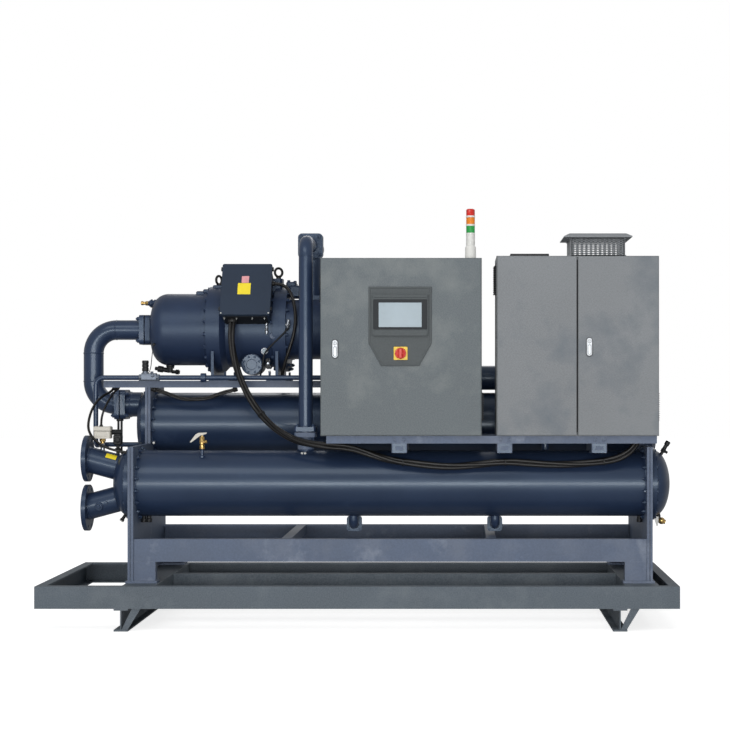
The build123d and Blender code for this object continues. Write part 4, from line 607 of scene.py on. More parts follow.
def strand_bundle(points, strands, lay_radius, strand_radius, turn_length, sides, ridge=0.0):
    """Strands laid round a centreline in a slow twist; ridge makes them corrugated."""
    bundle = Shape()
    step = (points[1] - points[0]).length
    u = None
    frames = []
    for i, p in enumerate(points):
        w = (points[min(i + 1, len(points) - 1)] - points[max(i - 1, 0)]).normalized()
        u = frame_of(w)[0] if u is None else (u - w * u.dot(w)).normalized()
        frames.append((p, u, w.cross(u)))
    for k in range(strands):
        centres = []
        radii = []
        for i, (p, a, b) in enumerate(frames):
            turn = 2 * math.pi * (k / strands + i * step / turn_length)
            centres.append((p + (a * math.cos(turn) + b * math.sin(turn)) * lay_radius) / MM)
            radii.append((strand_radius - (ridge if i % 2 else 0)) / MM)
        bundle.tube(centres, radii, sides)
    return bundle


MOTOR_ROUTE = [
    (-0.731, -0.002, 1.624), (-0.731, -0.037, 1.551), (-0.718, -0.052, 1.455), (-0.695, -0.062, 1.362),
    (-0.663, -0.080, 1.282), (-0.622, -0.106, 1.210), (-0.566, -0.144, 1.136), (-0.492, -0.202, 1.066),
    (-0.405, -0.282, 1.010), (-0.315, -0.352, 0.974), (-0.190, -0.396, 0.957), (-0.050, -0.402, 0.952),
    (0.048, -0.404, 0.920), (0.160, -0.410, 0.882), (0.310, -0.418, 0.861), (0.470, -0.423, 0.849),
    (0.640, -0.420, 0.860), (0.780, -0.418, 0.875), (0.910, -0.420, 0.867), (1.045, -0.421, 0.861),
    (1.180, -0.420, 0.863), (1.285, -0.420, 0.873), (1.366, -0.418, 0.889), (1.424, -0.413, 0.919),
    (1.462, -0.406, 0.958), (1.484, -0.398, 1.000),
]
FLOW_ROUTE = [
    (-1.384, 0.058, 1.258), (-1.398, 0.036, 1.236), (-1.412, -0.010, 1.204), (-1.419, -0.070, 1.167),
    (-1.420, -0.130, 1.136), (-1.417, -0.185, 1.106), (-1.412, -0.217, 1.086), (-1.410, -0.229, 1.066),
]
SENSOR_ROUTE = [
    (-1.406, 0.058, 1.257), (-1.420, 0.034, 1.240), (-1.441, -0.014, 1.226), (-1.468, -0.066, 1.194),
    (-1.485, -0.122, 1.147), (-1.490, -0.176, 1.092), (-1.482, -0.226, 1.047), (-1.460, -0.263, 1.012),
    (-1.428, -0.288, 0.981), (-1.388, -0.301, 0.956), (-1.345, -0.306, 0.938), (-1.300, -0.305, 0.927),
    (-1.263, -0.302, 0.921),
]
RAIL_ROUTE = [
    (-1.166, 0.064, 1.255), (-1.130, 0.064, 1.246), (-1.080, 0.062, 1.223), (-1.015, 0.060, 1.205),
    (-0.945, 0.060, 1.200), (-0.875, 0.061, 1.210), (-0.812, 0.062, 1.230), (-0.766, 0.064, 1.247),
    (-0.734, 0.064, 1.255),
]
HOSE_ROUTE = [
    (-0.505, 0.085, 1.850), (-0.470, 0.080, 1.849), (-0.434, 0.064, 1.829), (-0.405, 0.042, 1.787),
    (-0.387, 0.026, 1.725), (-0.380, 0.018, 1.655), (-0.386, 0.014, 1.585), (-0.402, 0.014, 1.520),
    (-0.424, 0.020, 1.455), (-0.443, 0.034, 1.399), (-0.454, 0.050, 1.361), (-0.458, 0.058, 1.338),
]

motor_line = even_points(spline_points(MOTOR_ROUTE), 0.003)
motor_cable = strand_bundle(
    motor_line, strands=3, lay_radius=0.0103, strand_radius=0.0106, turn_length=1.5, sides=12,
    ridge=0.0007,
).piece(
    "motor_cable_bundle", cable_black, slot="cable_black", replaces=["motor_cable"]
)

rail_line = even_points(spline_points(RAIL_ROUTE), 0.006)
rail_cable = strand_bundle(
    rail_line, strands=3, lay_radius=0.0062, strand_radius=0.0058, turn_length=0.4, sides=12,
).piece(
    "rail_cable_bundle", cable_black, slot="cable_black", replaces=["rail_cable"]
)

for cord_name, cord_node, cord_route, cord_radius, cord_length, cord_lay in (
    ("flow_switch_lead", "flow_switch_cable", FLOW_ROUTE, 0.006, 0.354, "hanging"),
    ("sensor_lead", "sensor_cable", SENSOR_ROUTE, 0.007, 0.657, "loose"),
    ("oil_hose_line", "oil_hose", HOSE_ROUTE, 0.009, 0.604, "loose"),
):
    cord_piece = route_spline(cord_name, cord_route, cord_radius)
    cord_piece.data.materials.append(cable_black)
    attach(cord_piece, "chiller")
    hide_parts(cord_node)

# Glands at the cords' ends
glands = Shape()
for route, radius_one, long_one, radius_two, long_two in (
    (MOTOR_ROUTE, 28, 38, 28, 24),
    (FLOW_ROUTE, 10, 20, 10, 16),
    (SENSOR_ROUTE, 10, 26, 12, 16),
    (RAIL_ROUTE, 16, 24, 16, 24),
    (HOSE_ROUTE, 14, 26, 13, 26),
):
    for end, neighbour, radius, long in (
        (route[0], route[1], radius_one, long_one),
        (route[-1], route[-2], radius_two, long_two),
    ):
        end = Vector(end) / MM
        axis = end - Vector(neighbour) / MM
        glands.lathe(
            capped((0.5, radius * 0.8), (long * 0.12, radius * 0.92), (long * 0.4, radius * 0.96)),
            end, axis, 24,
        )
        glands.lathe(
            capped(
                (long * 0.38, radius * 0.9), (long * 0.42, radius), (long * 0.68, radius),
                (long * 0.72, radius * 0.9),
            ),
            end, axis, 6,
        )
        glands.lathe(rod(long * 0.7, long, radius * 0.82), end, axis, 24)
glands.piece("cord_glands", rubber, slot="gland_black", replaces=["cable_glands"])

# Bolts of the vessels' heads
FRONT_Y = -230
BACK_Y = 262
CONDENSER = (FRONT_Y, 751)
EVAPORATOR = (BACK_Y, 1060)
COMPRESSOR = (BACK_Y, 1598)
head_bolts = Shape()
for y, z in (CONDENSER, EVAPORATOR):
    for dy, dz in circle_spots(18, 188.5, 10):
        for x, side in ((-1252, -1), (1583, 1)):
            head_bolts.bolt((x, y + dy, z + dz), (side, 0, 0), 9.5, 8, washer=False)
        for x, side in ((-1194, 1), (1525, -1)):
            head_bolts.bolt((x, y + dy, z + dz), (side, 0, 0), 9.5, 10, stud=7)
head_bolts.piece("head_bolts", vessel_paint, slot="vessel_paint")

# Bolts and fittings of the compressor
casing_bolts = Shape()
for dy, dz in circle_spots(20, 231, 8):
    casing_bolts.bolt((-886, COMPRESSOR[0] + dy, COMPRESSOR[1] + dz), (-1, 0, 0), 11, 13, washer=False)
for dy, dz in circle_spots(20, 227, 9):
    casing_bolts.bolt((-511, COMPRESSOR[0] + dy, COMPRESSOR[1] + dz), (-1, 0, 0), 10, 12)
    casing_bolts.bolt((-439, COMPRESSOR[0] + dy, COMPRESSOR[1] + dz), (1, 0, 0), 10, 12, stud=6)
for dy, dz in circle_spots(20, 233, 9):
    if abs(dz) > 70:
        casing_bolts.bolt((-130, COMPRESSOR[0] + dy, COMPRESSOR[1] + dz), (-1, 0, 0), 10, 12)
for dx, dz in circle_spots(8, 45, 22.5):
    casing_bolts.bolt((-630 + dx, 57, 1397 + dz), FRONT, 7, 6, washer=False)
for x in (-815, -494, 60):
    for y in (64, 460):
        for dx in (-36, 36):
            casing_bolts.bolt((x + dx, y, 1318), Z_AXIS, 12, 14, stud=22)
casing_bolts.piece("casing_bolts", compressor_paint, slot="compressor_paint")

filter_cover = Shape()
filter_cover.lathe(capped((-2, 57), (4, 57), (6, 55), (6, 30), (3, 28)), (-630, 62, 1397), FRONT, 40)
filter_cover.piece("filter_cover", pipe_paint, slot="compressor_paint")


def smooth_run(points, step):
    """Points along a smooth pipe run through a route, in millimetres."""
    line = spline_points([tuple(v * MM for v in p) for p in points])
    return [p / MM for p in even_points(line, step * MM)]


def pipe_run(shape, points, radius, sides=12, step=6.0):
    """Round pipe along a smooth route."""
    return shape.tube(smooth_run(points, step), radius, sides)


# Terminal box: screws, plain films, underside bolts
LEAN = math.radians(25.4)
LID_UP = Vector((0, math.sin(LEAN), math.cos(LEAN)))
LID_OUT = Vector((0, -math.cos(LEAN), math.sin(LEAN)))


def on_lid(across, up, out=0.0):
    """Place on the leaning lid of the terminal box."""
    return Vector((-655 + across, -60, 1672)) + LID_UP * up + LID_OUT * out


box_screws = Shape()
for across in (-131, 131):
    box_screws.bolt(on_lid(across, 9), LID_OUT, 5, 3, washer=False)
for x in (-772, -705, -617, -550):
    box_screws.bolt(on_lid(x + 655, 7, -48), -LID_UP, 5, 6, stud=6)
for x in (-708, -619, -552):
    box_screws.bolt(on_lid(x + 655, 7, -126), -LID_UP, 5, 6, stud=6)
box_screws.piece("terminal_box_screws", zinc_plate, slot="zinc_plate")

film = Shape()
film.plate(rounded(72, 71, 3), on_lid(-11, 162), X_AXIS, LID_UP, 0.9, 0.3)
film.piece("terminal_box_yellow_film", yellow_film)
film = Shape()
film.plate(rounded(41, 43, 2), on_lid(-7, 220), X_AXIS, LID_UP, 0.9, 0.3)
film.piece("terminal_box_red_film", red_film)

lid_trim = Shape()
for across in (-142.5, 142.5):
    for up in (40, 292):
        lid_trim.block(
            on_lid(across, up, -12), (9, 22, 16), 2,
            Matrix((X_AXIS, LID_UP, LID_OUT)).transposed(),
        )
lid_trim.piece("terminal_box_hinges", dark_plastic, slot="terminal_paint")

box_base = Shape()
box_base.plate(rounded(240, 112, 8), on_lid(0, 7.5, -85), X_AXIS, LID_OUT, 5, 1)
box_base.piece("terminal_box_gland_plate", dark_plastic, slot="terminal_paint")

stud = Shape()
stud.lathe(
    capped((0, 9), (12, 9), (14, 7), (40, 7), (42, 10), (54, 10), (56, 8), (62, 8)), (-545, 42, 1628),
    (0, 0.05, -1), 18,
)
stud.lathe(rod(0, 9, 12), (-545, 42, 1598), -Z_AXIS, 6)
stud.piece("terminal_box_drop", steel, slot="valve_metal")

# Compressor fittings
boss = Shape()
boss.turned(
    (-509, 44, 1556), FRONT, (28, capped((-30, 17), (14, 17), (17, 15), (17, 9), (13, 8))),
    (6, [(10, 0), (10, 5.5), (18, 5.5), (19, 0)]),
)
boss.piece("casing_boss", frame_paint, slot="compressor_paint")

sight = Shape()
sight.turned(
    (-560, 84, 1472), FRONT, (30, [(-30, 0), (-30, 20), (10, 20), (13, 18), (13, 14)]),
    (30, [(10, 14), (14, 14), (15, 12.5), (11.5, 11), (11.5, 0)]),
)
sight.piece("sight_glass_ring", steel, slot="valve_metal")
glass = Shape()
glass.lathe([(9, 0), (9, 11.2), (12.4, 10.8), (13.6, 6), (14, 0)], (-560, 84, 1472), FRONT, 24)
glass.piece("sight_glass_lens", screen_glass)

cluster = Shape()
cluster.turned((-543, 108, 1420), FRONT, (6, rod(-60, 10, 14, 2)), (16, rod(8, 32, 9, 2)))
cluster.turned((-543, 118, 1386), FRONT, (6, rod(-70, 8, 16, 2)), (16, rod(6, 24, 11, 2)))
cluster.block((-543, 100, 1403), (17, 15, 46), 3)
cluster.lathe(rod(0, 18, 7), (-536, 100, 1362), (0.2, 0, -1), 12)
cluster.piece("oil_valve_cluster", steel, slot="valve_metal")
cluster_caps = Shape()
cluster_caps.lathe(rod(30, 44, 11, 2), (-543, 108, 1420), FRONT, 14)
cluster_caps.lathe(rod(22, 36, 13, 2), (-543, 118, 1386), FRONT, 14)
cluster_caps.piece("oil_valve_caps", dark_plastic, slot="grey_plastic")

flange_valve = Shape()
flange_valve.lathe(rod(-40, 18, 13, 2), (-424, 34, 1619), FRONT, 6)
flange_valve.lathe(rod(0, 28, 9, 2), (-424, 12, 1619), (0.2, 0, 1), 14)
flange_valve.lathe(rod(0, 22, 8, 2), (-424, 12, 1619), (0.15, 0, -1), 6)
flange_valve.piece("casing_angle_valve", steel, slot="valve_metal")

oil_pipe = Shape()
pipe_run(
    oil_pipe,
    [
        (-424, 16, 1602), (-428, 12, 1588), (-470, 26, 1548), (-535, 44, 1487), (-562, 50, 1450),
        (-567, 58, 1400), (-580, 84, 1352), (-590, 120, 1330), (-592, 150, 1322),
    ],
    5.0,
)
oil_pipe.lathe(rod(0, 14, 9), (-426, 14, 1600), (-0.2, -0.1, -1), 6)
oil_pipe.piece("oil_return_pipe", dark_plastic, slot="compressor_paint")

tip = Shape()
tip.turned((-1232, BACK_Y, 1748), (-1, 0, 0.04), (6, rod(-22, 7, 21, 3)), (16, rod(6, 15, 13)))
tip.lathe(capped((-6, 24), (2, 24), (3, 22)), (-1229, BACK_Y, 1748), (-1, 0, 0.04), 24)
tip.lathe([(-54, 0), (-54, 25), (-20, 23), (-20, 0)], (-1232, BACK_Y, 1748), (-1, 0, 0.04), 24)
tip.piece("suction_port_hex", compressor_paint, slot="compressor_paint")
tip_brass = Shape()
tip_brass.turned(
    (-1232, BACK_Y, 1748), (-1, 0, 0.04), (6, capped((13, 14.5), (27, 14.5), (29, 12))),
    (18, capped((28, 9), (40, 9), (43, 12), (52, 12), (55, 9))),
)
tip_brass.piece("suction_port_tip", brass, slot="valve_brass")

under = Shape()
under.lathe(
    capped((-10, 24), (10, 24), (12, 22), (22, 22), (22, 15), (46, 15)), (-1120, BACK_Y, 1398), -Z_AXIS,
    24,
)
under.turned(
    (-1130, BACK_Y, 1366), (-1, 0, 0.15), (20, capped((0, 14), (30, 14), (32, 18), (60, 18), (62, 15))),
    (6, rod(60, 78, 12, 2)),
)
under.turned((-1112, BACK_Y, 1358), (1, 0, -0.05), (14, rod(0, 46, 10)), (6, rod(24, 40, 16)))
under.piece("cover_drain_valve", dark_plastic, slot="compressor_paint")

capillary = Shape()
pipe_run(
    capillary,
    [
        (-1196, 14, 1352), (-1186, 12, 1372), (-1183, 26, 1430), (-1182, 50, 1480), (-1182, 72, 1506),
        (-1182, 90, 1512),
    ],
    2.2, 8, 4,
)
capillary.lathe(rod(-4, 10, 8), (-1182, 82, 1510), (0, -1, -0.2), 6)
capillary.piece("valve_capillary", dark_plastic, slot="valve_metal")

lugs = Shape()
for x, z, size in (
    (-938, 1802, (60, 74, 30)),
    (-905, 1815, (40, 110, 24)),
    (-840, 1838, (58, 120, 24)),
):
    lugs.block((x, BACK_Y, z), size, 6)
lugs.block((-425, BACK_Y, 1852), (56, 120, 34), 8)
lugs.block((-395, BACK_Y, 1812), (80, 150, 70), 10)
lugs.bolt((-440, 232, 1868), Z_AXIS, 9, 9)
lugs.bolt((-410, 292, 1868), Z_AXIS, 9, 9)
lugs.piece("casing_lugs", compressor_paint, slot="compressor_paint")

# Expansion valve: knurled cap, block and unions on the feed line
valve_block = Shape()
valve_block.plate(rounded(44, 42, 8), (-1236, 14, 1327), Y_AXIS, Z_AXIS, 84, 3)
for x, side in ((-1234, -1), (-1154, 1)):
    valve_block.lathe([(0, 13), (0, 22), (14, 22), (17, 19), (17, 14)], (x, 14, 1323), (side, 0, 0), 6)
valve_block.lathe(capped((0, 19), (6, 19), (8, 15), (14, 15)), (-1216, 14, 1346), Z_AXIS, 24)
valve_block.lathe(rod(0, 12, 10, 2), (-1172, -6, 1334), (0, -1, 0.2), 6)
valve_block.lathe(rod(0, 12, 9), (-1180, 14, 1346), Z_AXIS, 6)
valve_block.piece("expansion_valve_body", valve_steel, slot="valve_metal", replaces=["expansion_valve"])
cap = Shape()
CAP = (-1216, 14)
cap_profile = [
    (1358, 15), (1360, 18.5), (1376, 18.5), (1378, 16), (1381, 16), (1383, 18.5), (1396, 18.5),
    (1398, 16.5), (1401, 16.5), (1403, 18.5), (1416, 18.5), (1419, 15),
]
cap_rings = [fluted_ring(CAP, z, radius, 0.9, 40) for z, radius in cap_profile]
cap.rings([[Vector((*CAP, 1358))], *cap_rings, [Vector((*CAP, 1419))]])
cap.piece("expansion_valve_cap", dark_plastic, slot="grey_plastic")

# Bolts and welds of the pipes
DISCHARGE_X = -301
pipe_bolts = Shape()
for x0, z0 in ((-1285, 1596), (-1426, 1171)):
    # two flanges of 28 with a 6 gasket between them
    for dy in (-62, 62):
        for dz in (-62, 62):
            pipe_bolts.bolt((x0, BACK_Y + dy, z0 + dz), (-1, 0, 0), 12, 12, stud=6)
            pipe_bolts.bolt((x0 + 62, BACK_Y + dy, z0 + dz), (1, 0, 0), 12, 12, stud=6)
for dx in (-50, 50):
    for dz in (-50, 50):
        pipe_bolts.bolt((DISCHARGE_X + dx, 51, 2061 + dz), FRONT, 10, 10, stud=5)
        pipe_bolts.bolt((DISCHARGE_X + dx, 105, 2061 + dz), Y_AXIS, 10, 10, stud=8)
    for dy in (-50, 50):
        pipe_bolts.bolt((DISCHARGE_X + dx, BACK_Y + dy, 1790), Z_AXIS, 10, 10, stud=5)
for dx in (-44, 44):
    for dy in (-44, 44):
        pipe_bolts.bolt((DISCHARGE_X + dx, FRONT_Y + dy, 1056), Z_AXIS, 9, 9, stud=6)
        pipe_bolts.bolt((DISCHARGE_X + dx, FRONT_Y + dy, 1002), -Z_AXIS, 9, 9, stud=6)
for x in (-42, 725):
    for dx in (-29, 29):
        for dz in (-29, 29):
            pipe_bolts.bolt((x + dx, -166, 526 + dz), FRONT, 6, 6, washer=False)
            pipe_bolts.bolt((x + dx, -134, 526 + dz), Y_AXIS, 6, 6, stud=3, washer=False)
pipe_bolts.piece("pipe_flange_bolts", pipe_paint, slot="vessel_paint")

welds = Shape()
for z in (1464, 1303):
    welds.bead((-1558, BACK_Y, z), Z_AXIS, 56, 4)
for z in (1596, 1171):
    welds.bead((-1426 if z == 1596 else -1429, BACK_Y, z), X_AXIS, 56, 4)
welds.bead((-1286, BACK_Y, 1596), X_AXIS, 56, 5)
welds.bead((DISCHARGE_X, FRONT_Y, 1982), Z_AXIS, 38, 3.2)
welds.bead((DISCHARGE_X, FRONT_Y, 1058), Z_AXIS, 38, 5)
welds.bead((DISCHARGE_X, FRONT_Y, 930), Z_AXIS, 44, 5)
welds.bead((DISCHARGE_X, 49, 2061), Y_AXIS, 38, 4)
NOZZLE_FACE_X = -1495
NOZZLE_RISE = 133
TILT = math.radians(15)
for side in (1, -1):
    face = Vector((NOZZLE_FACE_X, FRONT_Y, CONDENSER[1] + side * NOZZLE_RISE))
    inward = Vector((math.cos(TILT), 0, -side * math.sin(TILT)))
    welds.bead(face + inward * 26, inward, 70, 4.5)
for x in (-940, 1270):
    welds.bead((x, 574, 1060), Y_AXIS, 70, 4.5)
    welds.bead((x, 444, 1060), Y_AXIS, 70, 5)
for y, z in (CONDENSER, EVAPORATOR):
    welds.bead((-1193, y, z), X_AXIS, 178, 4.5, 90)
    welds.bead((1524, y, z), X_AXIS, 178, 4.5, 90)
welds.bead((-1252, BACK_Y, 1171), X_AXIS, 70, 5)
welds.bead((-1341, BACK_Y, 1171), X_AXIS, 70, 4)
welds.piece("weld_beads", pipe_paint, slot="vessel_paint")

# Gauge valve with its lever, vent and drains of the heads
GAUGE_VALVE = (-848, -326)
gauge = Shape()
gauge.turned((*GAUGE_VALVE, 893), Z_AXIS, (24, capped((0, 17), (9, 17), (12, 13))), (16, rod(8, 48, 7)))
gauge.piece("gauge_valve_foot", pipe_paint, slot="vessel_paint")
gauge = Shape()
gauge.lathe(
    capped((0, 15), (14, 15), (16, 12), (22, 12), (24, 14), (46, 14), (50, 11), (54, 11)),
    (*GAUGE_VALVE, 942), Z_AXIS, 24,
)
gauge.lathe(rod(-1, 13, 16, 2), (*GAUGE_VALVE, 940), Z_AXIS, 6)
gauge.lathe(rod(0, 14, 14, 2), (*GAUGE_VALVE, 992), Z_AXIS, 6)
gauge.lathe(capped((0, 7), (14, 7), (16, 9), (26, 9), (28, 7)), (*GAUGE_VALVE, 978), (1, -0.25, 0), 16)
gauge.lathe(rod(0, 14, 6), (*GAUGE_VALVE, 1004), Z_AXIS, 12)
gauge.piece("gauge_valve_body", brass, slot="valve_brass", replaces=["service_valves"])
lever = Shape()
lever.plate(
    [(-68, -40), (-60, -42), (-9, -4), (22, 4), (24, 12), (-21, 10), (-36, 2)],
    (-846, -331, 1016), X_AXIS, Z_AXIS, 3.5, 1,
)
lever.block((-848, -328, 1016), (18, 14, 9), 2)
lever.piece("gauge_valve_lever", grey_plastic, slot="valve_metal")

vent_axis = Vector((0.5, 0, 0.866))
vent_at = Vector((1603, FRONT_Y, 869))
vent = Shape()
vent.turned(
    vent_at, vent_axis, (16, rod(-12, 62, 9)), (6, rod(58, 78, 14, 2)),
    (16, capped((76, 11), (100, 11), (102, 14), (122, 14), (125, 11))),
)
vent.lathe(rod(0, 26, 7), vent_at + vent_axis * 68, (0.866, 0, -0.5), 12)
vent.lathe(capped((0, 10), (40, 10), (42, 12), (60, 12), (62, 10)), (1611, FRONT_Y, 620), -Z_AXIS, 16)
vent.lathe(capped((0, 9), (30, 9), (32, 12), (44, 12)), (-1276, FRONT_Y, 582), (-0.5, 0, -0.75), 14)
vent.lathe(rod(0, 18, 14, 2), (-1262, FRONT_Y, 598), (-0.5, 0, -0.75), 6)
for x in (-1178, -1150, 1508):
    vent.lathe(capped((-16, 13), (14, 13), (16, 16), (32, 16), (35, 13)), (x, FRONT_Y, 574), -Z_AXIS, 20)
vent.piece("head_vents_and_drains", dark_plastic, slot="valve_metal")
drain = Shape()
drain.lathe(
    capped((0, 12), (6, 17), (16, 19), (26, 17), (32, 12), (38, 12)), (1612, FRONT_Y, 552),
    (1, 0, -0.35), 20,
)
drain.lathe(rod(0, 16, 7), (1628, FRONT_Y, 545), (0.3, 0, -1), 12)
drain.lathe(rod(0, 12, 12), (1608, FRONT_Y, 554), (1, 0, -0.35), 6)
drain.piece("right_drain_ball", brass, slot="valve_brass")
drain = Shape()
drain.plate([(-20, 26), (-4, -28), (4, -28), (8, 22)], (1602, -249, 548), X_AXIS, Z_AXIS, 3, 0.8)
drain.piece("right_drain_lever", white_plastic, slot="valve_metal")
drain = Shape()
drain.lathe(capped((0, 12.5), (5, 12.5), (6, 11)), (-1298, FRONT_Y, 549), (-0.5, 0, -0.75), 16)
drain.piece("left_drain_cap", white_plastic, slot="valve_metal")

# Flow switch on the outlet nozzle, and the conduit box beside it
case = Shape()
case.plate(rounded(90, 64, 8), (-1400, FRONT_Y, 993), X_AXIS, Y_AXIS, 40, 2)
case.plate(rounded(94, 68, 9), (-1400, FRONT_Y, 1035), X_AXIS, Y_AXIS, 22, 3)
for dx in (-37, 37):
    for dy in (-24, 24):
        case.lathe(capped((0, 4), (2, 4), (2.6, 3)), (-1400 + dx, FRONT_Y + dy, 1057), Z_AXIS, 12)
case.plate(rounded(52, 24, 3), (-1402, -262, 1015), X_AXIS, Z_AXIS, 1.2, 0.4)
case.piece("flow_switch_case", grey_plastic, slot="grey_plastic", replaces=["flow_switch"])
seal = Shape()
seal.plate(rounded(88, 62, 8), (-1400, FRONT_Y, 1032.5), X_AXIS, Y_AXIS, 3, 0.2)
seal.piece("flow_switch_seal", gasket_black)
stem = Shape()
stem.lathe(rod(0, 18, 18, 2), (-1402, FRONT_Y, 993), -Z_AXIS, 6)
stem.lathe(rod(0, 30, 12), (-1402, FRONT_Y, 978), -Z_AXIS, 18)
stem.piece("flow_switch_nut", brass, slot="valve_brass")
stem = Shape()
stem.turned((-1402, FRONT_Y, 966), -Z_AXIS, (6, rod(0, 22, 15, 2)), (18, rod(20, 50, 12)))
stem.piece("flow_switch_stem", steel, slot="valve_metal")

conduit = Shape()
ribs = [(0, 0), (0, 11)]
for k in range(8):
    ribs += [(6 + k * 6, 15), (9 + k * 6, 15), (9.5 + k * 6, 12), (11.5 + k * 6, 12)]
ribs += [(56, 11), (56, 0)]
conduit.lathe(ribs, (-1356, -222, 1027), X_AXIS, 22)
conduit.block((-1322, -214, 985), (46, 44, 56), 6)
conduit.block((-1322, -214, 1013), (34, 34, 12), 4)
conduit.lathe(capped((0, 16), (14, 16), (16, 13)), (-1322, -236, 985), FRONT, 8)
conduit.lathe(rod(0, 66, 10), (-1322, -214, 962), -Z_AXIS, 16)
conduit.lathe(rod(0, 14, 17, 2), (-1322, -214, 940), -Z_AXIS, 6)
conduit.piece("flow_switch_conduit", dark_plastic, slot="grey_plastic")

drain_pair = Shape()
for dx in (-9, 9):
    pipe_run(
        drain_pair,
        [
            (-1398 + dx, 214, 1092), (-1398 + dx, 214, 1060), (-1398 + dx, 214, 940),
            (-1398 + dx, 214, 905 - dx), (-1390 + dx, 214, 892 - dx), (-1360, 214, 890 - dx),
            (-1250, 214, 890 - dx), (-1222, 214, 890 - dx),
        ],
        6.5,
    )
drain_pair.lathe(rod(0, 12, 20, 2), (-1224, 214, 890), (-1, 0, 0), 24)
drain_pair.lathe(rod(0, 12, 20, 2), (-1398, 214, 1089), -Z_AXIS, 24)
drain_pair.piece("suction_drain_pipes", dark_plastic, slot="compressor_paint")

# Plain yellow film bent round the outlet nozzle's pipe
outlet_face = Vector((NOZZLE_FACE_X, FRONT_Y, CONDENSER[1] + NOZZLE_RISE))
outlet_in = Vector((math.cos(TILT), 0, -math.sin(TILT)))
outlet_up = Vector((math.sin(TILT), 0, math.cos(TILT)))
wrap = Shape()
film_rows = []
for inwards in (112, 170):
    film_row = []
    for k in range(9):
        angle = math.radians(34 + k * 3.2)
        out = outlet_up * math.sin(angle) - Y_AXIS * math.cos(angle)
        film_row.append(outlet_face + outlet_in * inwards + out * 70.9)
    film_rows.append(film_row)
wrap.rings(film_rows, close=False)
wrap.piece("outlet_yellow_film", yellow_film)

plug = Shape()
plug_at = Vector((-1407, -292, 631))
plug.turned(
    plug_at, (0, -1, -0.12), (28, capped((-14, 24), (8, 22), (16, 22), (18, 20))),
    (6, rod(16, 30, 12, 2)),
)
plug.lathe(rod(-10, 8, 7, 2), (-1368, -298, 650), FRONT, 14)
plug.piece("inlet_plug", pipe_paint, slot="vessel_paint")

# Operator panel
DOOR_FACE = -500
PANEL_X = 220
PANEL_Z = 1653
SWITCH_X = 223
SWITCH_Z = 1449
panel = Shape()
panel.plate(rounded(297, 215, 8), (PANEL_X, -506, PANEL_Z), X_AXIS, Z_AXIS, 9, 2.5)
panel.plate(rounded(290, 14, 3), (PANEL_X, -515, 1749), X_AXIS, Z_AXIS, 2.5, 1)
panel.plate(rounded(284, 30, 4), (PANEL_X, -515, 1556), X_AXIS, Z_AXIS, 3, 1.2)
panel.plate(rounded(290, 8, 2), (PANEL_X, -515, 1736), X_AXIS, Z_AXIS, 2, 0.8)
panel.piece("display_case", panel_paint, "control_leaf", slot="panel_paint")
panel = Shape()
panel.plate(rounded(284, 158, 5), (221, -515, 1654), X_AXIS, Z_AXIS, 2.6, 1)
panel.piece("display_band", screen_band, "control_leaf", slot="panel_paint")
panel = Shape()
panel.plate(rounded(226, 129, 2), (221, -517.4, 1651), X_AXIS, Z_AXIS, 1.2, 0.5)
panel.piece("display_screen", screen_glass, "control_leaf", slot="grey_plastic")

rim = Shape()
hex_outline = [(-99, -267), (99, -267), (163, -151), (163, 144), (-163, 144), (-163, -151)]
panel_line = [(PANEL_X + x, PANEL_Z + z) for x, z in hex_outline]
rim_outer = inset(panel_line, -3)
rim_inner = inset(panel_line, 7)
rim.rings(
    [
        [Vector((x, y, z)) for x, z in line]
        for line, y in (
            (rim_outer, DOOR_FACE), (inset(rim_outer, 1.5), -508),
            (inset(rim_inner, -1.5), -508.5), (rim_inner, -506),
        )
    ]
)
rim.piece("operator_panel_rim", panel_paint, "control_leaf", slot="panel_paint")

switch_plate = Shape()
switch_plate.plate(rounded(73, 70, 4), (SWITCH_X, -506, SWITCH_Z), X_AXIS, Z_AXIS, 3.2, 1)
switch_plate.piece("main_switch_plate", yellow_plate, "control_leaf", slot="panel_paint")
knob = Shape()
knob_back = -512.6
knob.lathe(
    capped((0, 28), (1, 29), (8, 29), (10.5, 27), (10.5, 22), (9, 20)),
    (SWITCH_X, knob_back, SWITCH_Z), FRONT, 48,
)
knob.plate(rounded(17, 55, 6), (SWITCH_X, knob_back - 8, SWITCH_Z), X_AXIS, Z_AXIS, 16, 3)
for k in range(12):
    turn = 2 * math.pi * k / 12
    knob.block(
        (SWITCH_X + 28.6 * math.cos(turn), knob_back - 5, SWITCH_Z + 28.6 * math.sin(turn)), (3, 8, 3),
        0.8,
    )
knob.lathe(rod(-11.5, 1, 5.5), (SWITCH_X, knob_back, SWITCH_Z), FRONT, 20)
knob.piece("main_switch_knob", knob_red, "switch_knob", slot="knob_red", replaces=["main_switch"])

# Locks and hinge dimples of the doors
def stadium(width, height):
    """Upright outline with round ends."""
    return rounded(width, height, width / 2 - 0.01, 12)


